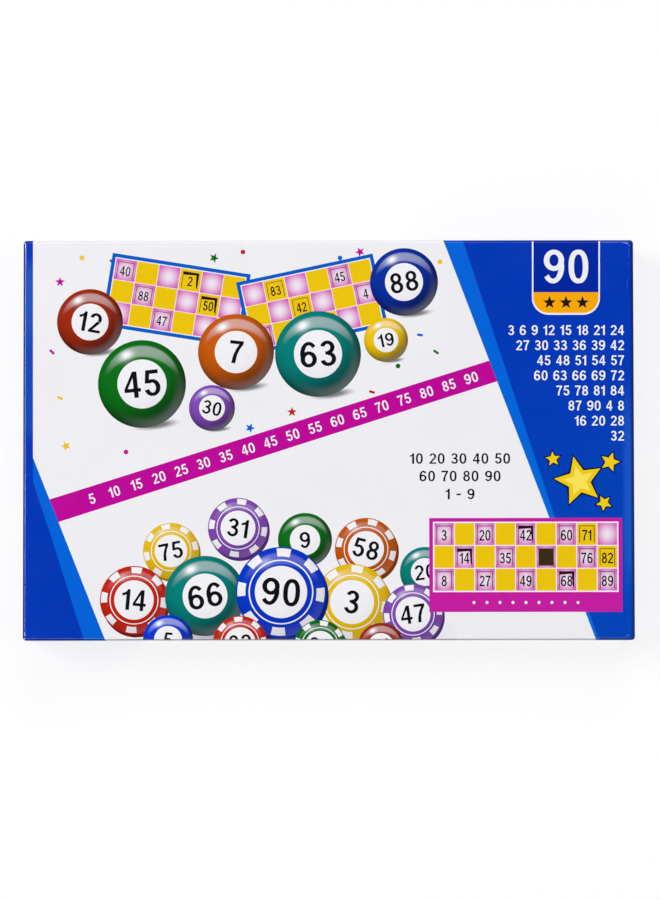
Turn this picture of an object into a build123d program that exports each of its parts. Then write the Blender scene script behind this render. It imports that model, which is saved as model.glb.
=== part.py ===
from build123d import *
import math
import os

# Boxed bingo game: a rigid lift-off-lid box of wrapped greyboard, with a formed
# tray inside that holds a calling board with 90 numbered discs, a pack of
# playing cards, one card ready to play with 15 fold-back number windows, and a
# folded rules leaflet. Millimetres. +Z up, origin on the floor under the middle
# of the box, +X along the long side, +Y towards the top edge of the cover.

# ---------------------------------------------------------------- dimensions
BOX_W, BOX_D, BOX_H = 270.0, 177.0, 38.0     # closed box
BOARD_T = 1.5                                # greyboard
WRAP_T = 0.3                                 # printed paper, glue and film
STAY_T = 0.12                                # corner stay paper
STAY_LEG = 14.0
LID_RIM_Z = 2.0                              # lid skirt ends above the table
LID_CORNER_R = 1.5                           # upright corners of the wrap
LID_EDGE_R = 1.3                             # edge between face and sides
TURN_IN = 15.0                               # wrap folded in over each rim
SLIT = 0.15                                  # butt joint between folded walls
LID_PLAY = 0.5                               # lid to base, each side

SHEET_T = 0.3                                # bottom sheet of the base
BASE_W = BOX_W - 2 * (BOARD_T + 2 * WRAP_T + LID_PLAY)      # 264.8
BASE_D = BOX_D - 2 * (BOARD_T + 2 * WRAP_T + LID_PLAY)      # 171.8
LID_TOP_IN = BOX_H - WRAP_T - BOARD_T        # 36.2, inside of the lid's top
BASE_TOP = LID_TOP_IN - 0.1                  # rim that the lid comes down on
FLOOR_Z = SHEET_T + BOARD_T                  # 1.8, inside floor of the base

TRAY_T = 0.8                                 # formed sheet
TRAY_Z0 = FLOOR_Z + 0.1
DECK_Z = 29.0
DRAFT = math.tan(math.radians(2.0))
TRAY_W0, TRAY_D0 = 259.8, 166.8              # at the foot
WELL_FOOT_R, DECK_EDGE_R = 1.2, 0.7
TRAY_W1 = TRAY_W0 - 2 * DRAFT * (DECK_Z - TRAY_Z0)
TRAY_D1 = TRAY_D0 - 2 * DRAFT * (DECK_Z - TRAY_Z0)
WELL_FLOOR = TRAY_Z0 + TRAY_T                # 2.7

CARD_W, CARD_H, CARD_T = 155.0, 75.6, 0.8    # one playing card
CARD_R = 3.0
PACK_X = -84.1                               # middle of the pack's well
PACK_WELL_W0, PACK_WELL_D0 = 78.4, 158.0     # at its floor
BOARD_X = 44.1                               # middle of the calling board's well
BOARD_WELL_W0, BOARD_WELL_D0 = 148.6, 157.2
LEDGE_W, LEDGE_D, LEDGE_Z = 156.4, 154.8, 27.8   # step that a card lies on
SCOOP_Y, SCOOP_R, SCOOP_Z = -38.0, 15.0, 27.0    # finger scoop through the rib

BOARD_W, BOARD_D, BOARD_R = 146.0, 154.6, 3.0
BACK_T, NUMBERS_T, GRID_T = 1.0, 0.4, 2.0
BOARD_Z = WELL_FLOOR + 0.1
COLS, ROWS = 10, 9
PITCH_X, PITCH_Y = 14.2, 16.8
HOLE_R = 6.5
COIN_R, COIN_T, COIN_CHAMFER = 6.2, 3.0, 0.35
COIN_Z = BOARD_Z + BACK_T + NUMBERS_T + 0.05

PLAY_Y0 = 1.0                                # lower long edge of the card in play
PLAY_Z = LEDGE_Z + 0.05
CELL_W, CELL_H = 16.3, 18.5
GRID_TOP, GRID_SIDE = 4.0, (CARD_W - 9 * CELL_W) / 2
WIN_W, WIN_H, WIN_FOOT = 12.2, 14.0, 2.1
KERF = 0.25
BEAD_R, BEAD_PLAY = 0.2, 0.07
# (row, column) of the number windows, counted from the top left
WINDOWS = [(0, 0), (0, 2), (0, 4), (0, 6), (0, 7),
           (1, 1), (1, 3), (1, 5), (1, 7), (1, 8),
           (2, 0), (2, 2), (2, 4), (2, 6), (2, 8)]

PACK_COUNT, PACK_PITCH = 23, 0.82
LEAF_W, LEAF_H, LEAF_T = 70.0, 146.0, 0.2    # one page of the folded leaflet
LEAF_Z = WELL_FLOOR + 0.05 + PACK_COUNT * PACK_PITCH + 0.1

os.makedirs("parts", exist_ok=True)


def prism(w, d, r, z0, z1, x=0.0, y=0.0):
    """Upright block with rounded upright edges."""
    face = RectangleRounded(w, d, r) if r > 0 else Rectangle(w, d)
    return Pos(x, y, z0) * extrude(face, z1 - z0)


def tapered(w0, d0, r0, w1, d1, r1, z0, z1, x=0.0, y=0.0):
    """Block with drafted sides: w0 by d0 at z0, w1 by d1 at z1."""
    low = Pos(x, y, z0) * RectangleRounded(w0, d0, r0)
    high = Pos(x, y, z1) * RectangleRounded(w1, d1, r1)
    return loft([low.face(), high.face()])


def save(shape, name):
    shape.label = name
    export_step(shape, f"parts/{name}.step")


def solids_of(shapes):
    out = []
    for s in shapes:
        out += list(s.solids())
    return Compound(children=out)


# ---------------------------------------------------------------- lid
lid_bw, lid_bd, lid_br = BOX_W - 2 * WRAP_T, BOX_D - 2 * WRAP_T, LID_CORNER_R - WRAP_T
lid_iw, lid_id = lid_bw - 2 * BOARD_T, lid_bd - 2 * BOARD_T      # inside of the board
board_foot = LID_RIM_Z + WRAP_T
board_head = BOX_H - WRAP_T

lid_core = prism(lid_bw, lid_bd, lid_br, board_foot, board_head)
lid_core = fillet(lid_core.edges().group_by(Axis.Z)[-1], LID_EDGE_R - WRAP_T)
lid_board = lid_core - prism(lid_iw, lid_id, 0, 0, LID_TOP_IN)
for sx in (-1, 1):
    for sy in (-1, 1):
        lid_board -= Pos(sx * (lid_iw / 2 + BOARD_T / 2), sy * (lid_id / 2 - SLIT / 2),
                         (board_foot + LID_TOP_IN) / 2) * Box(
            BOARD_T + 0.6, SLIT, LID_TOP_IN - board_foot)
save(lid_board, "lid_board")


def stays(w, d, r, z0, z1):
    ring = RectangleRounded(w + 2 * STAY_T, d + 2 * STAY_T, r + STAY_T) - RectangleRounded(w, d, r)
    ring = Pos(0, 0, z0) * extrude(ring, z1 - z0)
    out = []
    for sx in (-1, 1):
        for sy in (-1, 1):
            corner = Pos(sx * (w / 2 - STAY_LEG / 2 + 1), sy * (d / 2 - STAY_LEG / 2 + 1),
                         (z0 + z1) / 2) * Box(STAY_LEG + 2, STAY_LEG + 2, z1 - z0 + 2)
            out.append(ring & corner)
    return out


lid_stays = stays(lid_bw, lid_bd, lid_br, board_foot, LID_TOP_IN - 1.0)
save(solids_of(lid_stays), "lid_corner_stays")

lid_skin = prism(BOX_W, BOX_D, LID_CORNER_R, LID_RIM_Z, BOX_H)
lid_skin = fillet(lid_skin.edges().group_by(Axis.Z)[-1], LID_EDGE_R)
lid_wrap = lid_skin - lid_core
lid_wrap -= prism(lid_iw - 2 * WRAP_T, lid_id - 2 * WRAP_T, 0.4, LID_RIM_Z - 1, board_foot + 1)
lid_wrap += (prism(lid_iw, lid_id, 0, LID_RIM_Z, LID_RIM_Z + TURN_IN)
             - prism(lid_iw - 2 * WRAP_T, lid_id - 2 * WRAP_T, 0.4, LID_RIM_Z - 1, LID_RIM_Z + TURN_IN + 1))
for s in lid_stays:
    lid_wrap -= s
save(lid_wrap, "lid_wrap")

# ---------------------------------------------------------------- base
base_bw, base_bd, base_br = BASE_W - 2 * WRAP_T, BASE_D - 2 * WRAP_T, 1.2
base_iw, base_id = base_bw - 2 * BOARD_T, base_bd - 2 * BOARD_T
base_head = BASE_TOP - WRAP_T

base_core = prism(base_bw, base_bd, base_br, SHEET_T, base_head)
base_board = base_core - prism(base_iw, base_id, 0, FLOOR_Z, base_head + 1)
for sx in (-1, 1):
    for sy in (-1, 1):
        base_board -= Pos(sx * (base_iw / 2 + BOARD_T / 2), sy * (base_id / 2 - SLIT / 2),
                          (FLOOR_Z + base_head) / 2) * Box(
            BOARD_T + 0.6, SLIT, base_head - FLOOR_Z)
save(base_board, "base_board")

base_stays = stays(base_bw, base_bd, base_br, SHEET_T + 1.0, base_head)
save(solids_of(base_stays), "base_corner_stays")

base_wrap = prism(BASE_W, BASE_D, base_br + WRAP_T, SHEET_T, BASE_TOP)
base_wrap = fillet(base_wrap.edges().group_by(Axis.Z)[-1], 0.25)
base_wrap -= prism(base_bw, base_bd, base_br, SHEET_T - 1, base_head)
base_wrap -= prism(base_iw - 2 * WRAP_T, base_id - 2 * WRAP_T, 0.4, base_head - 1, BASE_TOP + 1)
base_wrap += (prism(base_iw, base_id, 0, BASE_TOP - TURN_IN, base_head + 0.1)
              - prism(base_iw - 2 * WRAP_T, base_id - 2 * WRAP_T, 0.4, BASE_TOP - TURN_IN - 1, BASE_TOP + 1))
for s in base_stays:
    base_wrap -= s
save(base_wrap, "base_wrap")

save(prism(BASE_W - 0.4, BASE_D - 0.4, base_br + 0.1, 0.0, SHEET_T), "base_bottom_sheet")

# ---------------------------------------------------------------- formed tray


def well(w0, d0, x, grow, sink):
    """A drafted pocket, from its floor up past the deck."""
    top = DECK_Z + 2.0
    w1 = w0 + 2 * DRAFT * (top - WELL_FLOOR)
    d1 = d0 + 2 * DRAFT * (top - WELL_FLOOR)
    low = w0 - 2 * DRAFT * sink, d0 - 2 * DRAFT * sink
    pocket = tapered(low[0] + 2 * grow, low[1] + 2 * grow, 2.2 + grow,
                     w1 + 2 * grow, d1 + 2 * grow, 3.4 + grow,
                     WELL_FLOOR - sink, top, x, 0)
    if sink:
        return pocket
    return fillet(pocket.edges().group_by(Axis.Z)[0], WELL_FOOT_R)


def scoop(grow):
    round_part = Pos((PACK_X + BOARD_X) / 2 - 18.0, SCOOP_Y, SCOOP_Z) * Rot(0, 90, 0) * Cylinder(
        SCOOP_R + grow, 40.0)
    above = Pos((PACK_X + BOARD_X) / 2 - 18.0, SCOOP_Y, SCOOP_Z + 5) * Box(
        40.0, 2 * (SCOOP_R + grow), 10.0)
    return round_part + above


block = tapered(TRAY_W0, TRAY_D0, 3.0, TRAY_W1, TRAY_D1, 3.0, TRAY_Z0, DECK_Z)
outside = (block - well(PACK_WELL_W0, PACK_WELL_D0, PACK_X, 0, 0)
           - well(BOARD_WELL_W0, BOARD_WELL_D0, BOARD_X, 0, 0)
           - prism(LEDGE_W, LEDGE_D, 3.4, LEDGE_Z, DECK_Z + 2, BOARD_X, 0)
           - scoop(0))
outside = fillet(outside.edges().filter_by(
    lambda e: abs(e.bounding_box().min.Z - DECK_Z) < 1e-4 and abs(e.bounding_box().max.Z - DECK_Z) < 1e-4),
    DECK_EDGE_R)
hollow_low = TRAY_Z0 - 1.0
inner = tapered(TRAY_W0 - 2 * TRAY_T + 2 * DRAFT, TRAY_D0 - 2 * TRAY_T + 2 * DRAFT, 2.2,
                TRAY_W1 - 2 * TRAY_T, TRAY_D1 - 2 * TRAY_T, 2.2, hollow_low, DECK_Z - TRAY_T)
inside = (inner - well(PACK_WELL_W0, PACK_WELL_D0, PACK_X, TRAY_T, 3.0)
          - well(BOARD_WELL_W0, BOARD_WELL_D0, BOARD_X, TRAY_T, 3.0)
          - prism(LEDGE_W + 2 * TRAY_T, LEDGE_D + 2 * TRAY_T, 4.2, LEDGE_Z - TRAY_T, DECK_Z + 2, BOARD_X, 0)
          - scoop(TRAY_T))
tray = outside - inside
save(tray, "formed_tray")

# ---------------------------------------------------------------- calling board
board_centres = [(BOARD_X + (c - (COLS - 1) / 2) * PITCH_X, ((ROWS - 1) / 2 - r) * PITCH_Y)
                 for r in range(ROWS) for c in range(COLS)]
save(prism(BOARD_W, BOARD_D, BOARD_R, BOARD_Z, BOARD_Z + BACK_T, BOARD_X, 0), "calling_board_back")
save(prism(BOARD_W, BOARD_D, BOARD_R, BOARD_Z + BACK_T, BOARD_Z + BACK_T + NUMBERS_T, BOARD_X, 0),
     "calling_board_number_sheet")
grid_face = Pos(BOARD_X, 0) * RectangleRounded(BOARD_W, BOARD_D, BOARD_R)
grid_face -= [Pos(x, y) * Circle(HOLE_R) for x, y in board_centres]
grid_z = BOARD_Z + BACK_T + NUMBERS_T
save(Pos(0, 0, grid_z) * extrude(grid_face, GRID_T), "calling_board_grid")

# ---------------------------------------------------------------- numbered discs
coin = extrude(Circle(COIN_R), COIN_T)
coin = chamfer(coin.edges(), COIN_CHAMFER)
for r in range(ROWS):
    row = [Pos(x, y, COIN_Z) * coin for x, y in board_centres[r * COLS:(r + 1) * COLS]]
    save(solids_of(row), f"discs_{r * 10 + 1:02d}_to_{r * 10 + 10:02d}")

# ---------------------------------------------------------------- card in play
card_x0 = BOARD_X - CARD_W / 2
card_top = PLAY_Y0 + CARD_H


def window_at(r, c):
    """Middle along X, and the height of the crease along the window's foot."""
    x = card_x0 + GRID_SIDE + CELL_W * (c + 0.5)
    y = card_top - GRID_TOP - CELL_H * (r + 1) + WIN_FOOT
    return x, y


card_face = Pos(BOARD_X, PLAY_Y0 + CARD_H / 2) * RectangleRounded(CARD_W, CARD_H, CARD_R)
card_face -= [Pos(window_at(r, c)[0], window_at(r, c)[1] + WIN_H / 2) * Rectangle(WIN_W, WIN_H)
              for r, c in WINDOWS]
play_card = Pos(0, 0, PLAY_Z) * extrude(card_face, CARD_T)
for r, c in WINDOWS:
    x, y = window_at(r, c)
    play_card -= Pos(x, y, PLAY_Z) * Rot(0, 90, 0) * Cylinder(BEAD_R + BEAD_PLAY, WIN_W)
save(play_card, "play_card")

flap_w, flap_h = WIN_W - 2 * KERF, WIN_H - KERF
for r, c in WINDOWS:
    x, y = window_at(r, c)
    leaf = Pos(x, y + 0.02 + (flap_h - 0.02) / 2, PLAY_Z + CARD_T / 2) * Box(flap_w, flap_h - 0.02, CARD_T)
    bead = Pos(x, y, PLAY_Z) * Rot(0, 90, 0) * Cylinder(BEAD_R, flap_w)
    save(leaf + bead, f"window_flap_r{r + 1}_c{c + 1}")

# ---------------------------------------------------------------- pack of cards
pack = []
for k in range(PACK_COUNT):
    dx = 0.28 * math.sin(2.1 * k + 0.6)
    dy = 0.35 * math.sin(1.3 * k + 1.9)
    z = WELL_FLOOR + 0.05 + k * PACK_PITCH
    pack.append(prism(CARD_H, CARD_W, CARD_R, z, z + CARD_T, PACK_X + dx, dy))
save(solids_of(pack), "card_pack")

# ---------------------------------------------------------------- rules leaflet
leaf_x0 = PACK_X - LEAF_W / 2
save(prism(LEAF_W, LEAF_H, 0, LEAF_Z, LEAF_Z + LEAF_T, PACK_X, 0), "leaflet_back_page")
save(prism(LEAF_W, LEAF_H, 0, LEAF_Z + LEAF_T + 0.05, LEAF_Z + 2 * LEAF_T + 0.05, PACK_X, 0),
     "leaflet_front_page")

print("leaflet fold", leaf_x0, LEAF_Z + LEAF_T + 0.025)
print("creases", {f"r{r + 1}_c{c + 1}": tuple(round(v, 3) for v in (*window_at(r, c), PLAY_Z)) for r, c in WINDOWS})
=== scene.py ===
import math

import bmesh
import bpy
import numpy as np
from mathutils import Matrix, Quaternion, Vector
from mathutils.geometry import delaunay_2d_cdt


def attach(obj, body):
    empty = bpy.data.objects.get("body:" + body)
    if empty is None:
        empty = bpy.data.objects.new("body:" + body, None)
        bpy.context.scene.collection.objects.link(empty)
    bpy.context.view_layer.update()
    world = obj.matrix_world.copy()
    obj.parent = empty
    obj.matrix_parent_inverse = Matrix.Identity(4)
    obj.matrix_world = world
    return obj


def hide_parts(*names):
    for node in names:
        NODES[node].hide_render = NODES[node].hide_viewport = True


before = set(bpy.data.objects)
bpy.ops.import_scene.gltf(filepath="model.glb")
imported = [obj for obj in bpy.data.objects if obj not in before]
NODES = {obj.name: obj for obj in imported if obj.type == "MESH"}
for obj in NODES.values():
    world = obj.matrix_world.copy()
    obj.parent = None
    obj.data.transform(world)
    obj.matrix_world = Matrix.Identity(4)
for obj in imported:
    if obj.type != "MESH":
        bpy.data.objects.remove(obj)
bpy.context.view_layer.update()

MM = 0.001
W, D, H = 270.0, 177.0, 38.0            # closed box, as in the CAD
EDGE_R, CORNER_R, RIM_Z, PAPER = 1.3, 1.5, 2.0, 0.3

# Viewpoint: the camera stands DIST from AIM, tilted forward and rolled a little.
# Cover places are given in picture units, U to the right and V down, and P takes
# them to millimetres on the cover; K is the size of one unit there.
DIST, TILT, ROLL = 1.85, math.asin(0.0499), -0.00125
LENS = 90.556 * DIST
AIM = Vector((0.000613, -0.004508, 0.038))
BACK = Vector((0.0, -math.sin(TILT), math.cos(TILT)))
FOCUS = LENS / 36.0 * 900.0
K = 1000.0 * DIST / FOCUS


def P(u, v):
    across, up = Vector((1.0, 0.0, 0.0)), Vector((0.0, math.cos(TILT), math.sin(TILT)))
    right = math.cos(ROLL) * across + math.sin(ROLL) * up
    top = math.cos(ROLL) * up - math.sin(ROLL) * across
    eye = AIM + BACK * DIST
    ray = right * ((u - 330.0) / FOCUS) - top * ((v - 450.0) / FOCUS) - BACK
    t = (H * MM - eye.z) / ray.z
    return ((eye.x + ray.x * t) / MM, (eye.y + ray.y * t) / MM)


def poly(*uv):
    return np.array([P(*q) for q in uv])


# ---------------------------------------------------------------- colour
def lin(rgb):
    c = np.array(rgb, float) / 255.0
    return tuple(np.where(c <= 0.04045, c / 12.92, ((c + 0.055) / 1.055) ** 2.4))


WHITE = lin((240, 239, 243))
BLACK = lin((16, 15, 18))
ROYAL = lin((0, 55, 182))
SKY = lin((0, 99, 217))
DEEP = lin((0, 38, 159))
ORANGE = lin((250, 168, 8))
MAGENTA = lin((189, 6, 152))
YELLOW = lin((236, 196, 12))
PINK = lin((214, 96, 186))
AMBER, LEAF, RUST, TEAL, NAVY = (lin(c) for c in ((186, 84, 8), (8, 104, 22), (150, 40, 12), (4, 118, 112), (6, 44, 150)))
RED, VIOLET, GOLD, BLUE, MOSS = (lin(c) for c in ((190, 34, 16), (124, 70, 170), (226, 184, 8), (4, 54, 196), (96, 150, 20)))
PAPER_EDGE = lin((226, 224, 220))


# ---------------------------------------------------------------- outlines
def circle(cx, cy, r, n=72):
    a = np.arange(n) * 2 * math.pi / n
    return np.c_[cx + r * np.cos(a), cy + r * np.sin(a)]


def ellipse(cx, cy, rx, ry, ang=0.0, n=40):
    a = np.arange(n) * 2 * math.pi / n
    p = np.c_[rx * np.cos(a), ry * np.sin(a)]
    c, s = math.cos(ang), math.sin(ang)
    return np.c_[cx + p[:, 0] * c - p[:, 1] * s, cy + p[:, 0] * s + p[:, 1] * c]


def rrect(cx, cy, w, h, r, n=5, ang=0.0):
    out = []
    for qx, qy, a0 in ((1, 1, 0), (-1, 1, 90), (-1, -1, 180), (1, -1, 270)):
        for k in range(n + 1 if r > 0 else 1):
            a = math.radians(a0 + (90.0 * k / n if r > 0 else 45))
            out.append((qx * (w / 2 - r) + r * math.cos(a), qy * (h / 2 - r) + r * math.sin(a)))
    p = np.array(out)
    c, s = math.cos(ang), math.sin(ang)
    return np.c_[cx + p[:, 0] * c - p[:, 1] * s, cy + p[:, 0] * s + p[:, 1] * c]


def star(cx, cy, r, inner=0.42, ang=0.0, points=5):
    out = []
    for k in range(2 * points):
        a = ang + math.pi / 2 + k * math.pi / points
        q = r if k % 2 == 0 else r * inner
        out.append((cx + q * math.cos(a), cy + q * math.sin(a)))
    return np.array(out)


def ring(cx, cy, r0, r1, n=72):
    return [circle(cx, cy, r1, n), circle(cx, cy, r0, n)]


def bowl(cx, cy, rx1, ry1, rx0, ry0, a0, a1, n=18):
    """Part of a thick ellipse, from angle a0 to a1 in degrees."""
    t = np.radians(np.linspace(a0, a1, n))
    out = np.c_[cx + rx1 * np.cos(t), cy + ry1 * np.sin(t)]
    back = np.c_[cx + rx0 * np.cos(t), cy + ry0 * np.sin(t)][::-1]
    return np.vstack([out, back])


def hoop(cx, cy, rx1, ry1, rx0, ry0, n=30, power=2.0):
    t = np.arange(n) * 2 * math.pi / n
    c, s = np.cos(t), np.sin(t)
    e = 2.0 / power
    unit = np.c_[np.sign(c) * np.abs(c) ** e, np.sign(s) * np.abs(s) ** e]
    return [unit * (rx1, ry1) + (cx, cy), unit * (rx0, ry0) + (cx, cy)]


def digit_outlines():
    """Plain bold 0 to 9 and a dash, one unit high: for each, its strokes (each a list of loops) and its width."""
    six = [hoop(0.30, 0.315, 0.30, 0.315, 0.135, 0.175), [bowl(0.33, 0.50, 0.33, 0.50, 0.165, 0.36, 40, 196, 24)]]
    nine = [[np.array([0.60, 1.0]) - q for q in stroke] for stroke in six]
    return {
        "0": ([hoop(0.29, 0.5, 0.29, 0.5, 0.13, 0.36, 36, 2.35)], 0.58),
        "1": ([[np.array([(0.19, 0), (0.36, 0), (0.36, 1.0), (0.24, 1.0), (0.20, 0.91), (0.11, 0.83), (0.0, 0.80), (0.0, 0.67), (0.10, 0.69), (0.19, 0.74)])]], 0.38),
        "2": ([[bowl(0.29, 0.70, 0.285, 0.30, 0.12, 0.165, 168, -32, 20)],
               [np.array([(0.525, 0.53), (0.20, 0.14), (0.575, 0.14), (0.575, 0.0), (0.0, 0.0), (0.0, 0.10), (0.385, 0.60)])]], 0.575),
        "3": ([[bowl(0.28, 0.735, 0.265, 0.265, 0.105, 0.13, 165, -92, 20)], [bowl(0.285, 0.285, 0.29, 0.285, 0.13, 0.145, 98, -168, 22)],
               [np.array([(0.19, 0.455), (0.33, 0.455), (0.33, 0.585), (0.19, 0.585)])]], 0.575),
        "4": ([[np.array([(0.33, 1.0), (0.49, 1.0), (0.49, 0.36), (0.59, 0.36), (0.59, 0.22), (0.49, 0.22), (0.49, 0.0), (0.33, 0.0), (0.33, 0.22), (0.0, 0.22), (0.0, 0.35)]),
                np.array([(0.33, 0.36), (0.33, 0.76), (0.12, 0.36)])]], 0.59),
        "5": ([[bowl(0.285, 0.325, 0.29, 0.325, 0.125, 0.19, 128, -166, 24)],
               [np.array([(0.09, 1.0), (0.53, 1.0), (0.53, 0.85), (0.22, 0.85), (0.19, 0.60), (0.17, 0.50), (0.025, 0.50)])]], 0.575),
        "6": (six, 0.60),
        "7": ([[np.array([(0.0, 1.0), (0.56, 1.0), (0.56, 0.87), (0.42, 0.62), (0.33, 0.34), (0.30, 0.0), (0.13, 0.0), (0.17, 0.32), (0.26, 0.60), (0.385, 0.85), (0.0, 0.85)])]], 0.56),
        "8": ([hoop(0.29, 0.735, 0.255, 0.265, 0.105, 0.135), hoop(0.29, 0.29, 0.29, 0.29, 0.13, 0.155)], 0.58),
        "9": (nine, 0.60),
        "-": ([[np.array([(0.0, 0.38), (0.36, 0.38), (0.36, 0.54), (0.0, 0.54)])]], 0.36),
    }


DIGITS = digit_outlines()


def text_width(text, h, track=0.13, space=0.42):
    w = 0.0
    for ch in text:
        w += (space if ch == " " else DIGITS[ch][1] + track) * h
    return w - track * h


def number(text, cx, cy, h, ang=0.0, anchor="middle", track=0.13, space=0.42, squeeze=1.0):
    """Strokes of a line of digits, its middle (or its right or left end) at (cx, cy)."""
    width = text_width(text, h, track, space) * squeeze
    x = {"middle": -width / 2, "right": -width, "left": 0.0}[anchor]
    c, s = math.cos(ang), math.sin(ang)
    glyphs = []
    for ch in text:
        if ch == " ":
            x += space * h * squeeze
            continue
        strokes, adv = DIGITS[ch]
        for loops in strokes:
            g = []
            for q in loops:
                px, py = x + q[:, 0] * h * squeeze, (q[:, 1] - 0.5) * h
                g.append(np.c_[cx + px * c - py * s, cy + px * s + py * c])
            glyphs.append(g)
        x += (adv + track) * h * squeeze
    return glyphs


# ---------------------------------------------------------------- printed shapes
FLAT, BALL, GLOW, SHADE = 0, 1, 2, 3


def shape(loops, ink, kind=FLAT, centre=(0.0, 0.0), radius=1.0, radius_y=None, ang=0.0, tag=0.0):
    if isinstance(loops, np.ndarray):
        loops = [loops]
    return {"loops": loops, "ink": ink, "kind": kind, "c": centre, "rx": radius, "ry": radius_y or radius, "ang": ang, "tag": tag}


def shapes_of_number(text, cx, cy, h, ink, **kw):
    return [shape(g, ink) for g in number(text, cx, cy, h, **kw)]


def token(cx, cy, r, ink, text, style="ball", ang=0.0, fig=None):
    """A glossy numbered ball, or a flat counter with a notched rim."""
    out = []
    if style == "ball":
        out.append(shape(circle(cx, cy, r, 96), ink, BALL, (cx, cy), r))
        out.append(shape(circle(cx, cy, r * 0.56, 64), WHITE, BALL, (cx, cy), r, tag=0.82))
        out += shapes_of_number(text, cx, cy, r * 0.60, BLACK, ang=ang, squeeze=1.06)
    else:
        low = tuple(0.36 * q for q in ink)
        out.append(shape(circle(cx + 0.06 * r, cy - 0.10 * r, r, 96), low))
        out.append(shape(circle(cx, cy, r, 96), ink, BALL, (cx, cy), r, tag=0.62))
        for k in range(8):
            a = ang + k * math.pi / 4
            t = np.linspace(a - 0.17, a + 0.17, 5)
            wedge = np.vstack([np.c_[cx + 0.97 * r * np.cos(t), cy + 0.97 * r * np.sin(t)], np.c_[cx + 0.79 * r * np.cos(t), cy + 0.79 * r * np.sin(t)][::-1]])
            out.append(shape(wedge, WHITE, BALL, (cx, cy), r, tag=0.72))
        out.append(shape(ring(cx, cy, r * 0.69, r * 0.72, 72), WHITE, BALL, (cx, cy), r, tag=0.72))
        out.append(shape(circle(cx, cy, r * 0.58, 64), WHITE, BALL, (cx, cy), r, tag=0.85))
        out += shapes_of_number(text, cx, cy, r * 0.61, fig or BLACK, ang=ang, squeeze=1.06)
    return out


class Card:
    """Print of a number card. Its own axes: x to the right and y up from its middle; at() takes them to the sheet."""

    def __init__(self, cx, cy, w, h, ang, cols=9, rows=3, side=4.0, top=4.0, foot=12.0, window=(0.75, 0.757, 0.113)):
        self.c, self.w, self.h, self.ang, self.cols, self.rows = (cx, cy), w, h, ang, cols, rows
        self.x0, self.y1, self.y0 = -w / 2 + side, h / 2 - top, -h / 2 + foot
        self.pw, self.ph = (w - 2 * side) / cols, (self.y1 - self.y0) / rows
        self.ww, self.wh, self.wf = window[0] * self.pw, window[1] * self.ph, window[2] * self.ph

    def at(self, x, y):
        c, s = math.cos(self.ang), math.sin(self.ang)
        return (self.c[0] + x * c - y * s, self.c[1] + x * s + y * c)

    def box(self, x0, y0, x1, y1):
        return np.array([self.at(x0, y0), self.at(x1, y0), self.at(x1, y1), self.at(x0, y1)])

    def cell(self, r, k):
        return self.x0 + k * self.pw, self.y1 - (r + 1) * self.ph, self.x0 + (k + 1) * self.pw, self.y1 - r * self.ph

    def window(self, r, k):
        x0, y0, x1, _ = self.cell(r, k)
        m = (x0 + x1) / 2
        return m - self.ww / 2, y0 + self.wf, m + self.ww / 2, y0 + self.wf + self.wh

    def cell_shape(self, r, k, ink, glow, line):
        x0, y0, x1, y1 = self.cell(r, k)
        q = line / 2
        return shape(self.box(x0 + q, y0 + q, x1 - q, y1 - q), ink, GLOW if glow else FLAT, self.at((x0 + x1) / 2, (y0 + y1) / 2),
                     (x1 - x0) * 0.56, (y1 - y0) * 0.56, self.ang)

    def figure(self, r, k, num, size=0.50, ink=BLACK):
        x0, y0, x1, y1 = self.window(r, k)
        return shapes_of_number(str(num), *self.at((x0 + x1) / 2, y0 + 0.44 * (y1 - y0)), (y1 - y0) * size, ink, ang=self.ang, squeeze=0.84, track=0.10)

    def arch(self, r, k, t):
        """The cut round three sides of a window, t wide."""
        x0, y0, x1, y1 = self.window(r, k)
        pts = [(x0, y0), (x0 + t, y0), (x0 + t, y1 - t), (x1 - t, y1 - t), (x1 - t, y0), (x1, y0), (x1, y1), (x0, y1)]
        return np.array([self.at(*p) for p in pts])

    def ground(self, frame_ink, line, over=0.0):
        o = over
        out = [shape(self.box(-self.w / 2 - o, -self.h / 2 - o, self.w / 2 + o, self.h / 2 + o), frame_ink)]
        out.append(shape(self.box(self.x0 - line, self.y0 - line, self.x0 + self.cols * self.pw + line, self.y1 + line), WHITE))
        return out


def card_shapes(cx, cy, w, h, ang, cols, rows, numbers, inks, frame_ink, line, cut=0.0, side=1.4, top=None, foot=None, pushed=(), holed=(), size=0.60):
    """A printed picture of a card: some windows folded in, one or more open."""
    card = Card(cx, cy, w, h, ang, cols, rows, side, side if top is None else top, side if foot is None else foot)
    out = card.ground(frame_ink, line)
    for r in range(rows):
        for k in range(cols):
            ink = inks(r, k)
            num = numbers.get((r, k))
            out.append(card.cell_shape(r, k, ink, ink is PINK, line))
            if num is None:
                continue
            x0, y0, x1, y1 = card.window(r, k)
            if (r, k) in holed:
                out.append(shape(card.box(x0, y0, x1, y1), lin((58, 44, 20))))
                continue
            if cut:
                out.append(shape(card.arch(r, k, cut), lin((84, 30, 56))))
            if (r, k) in pushed:
                ww, wh = x1 - x0, y1 - y0
                fold = [(x0, y1), (x0 + ww * 0.06, y1 - wh * 0.20), (x1 - ww * 0.17, y1 - wh * 0.15), (x1 - ww * 0.10, y0 + wh * 0.16), (x1, y0), (x1, y1)]
                out.append(shape(np.array([card.at(*p) for p in fold]), lin((40, 20, 24))))
            out += card.figure(r, k, num, size)
    return out


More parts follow.
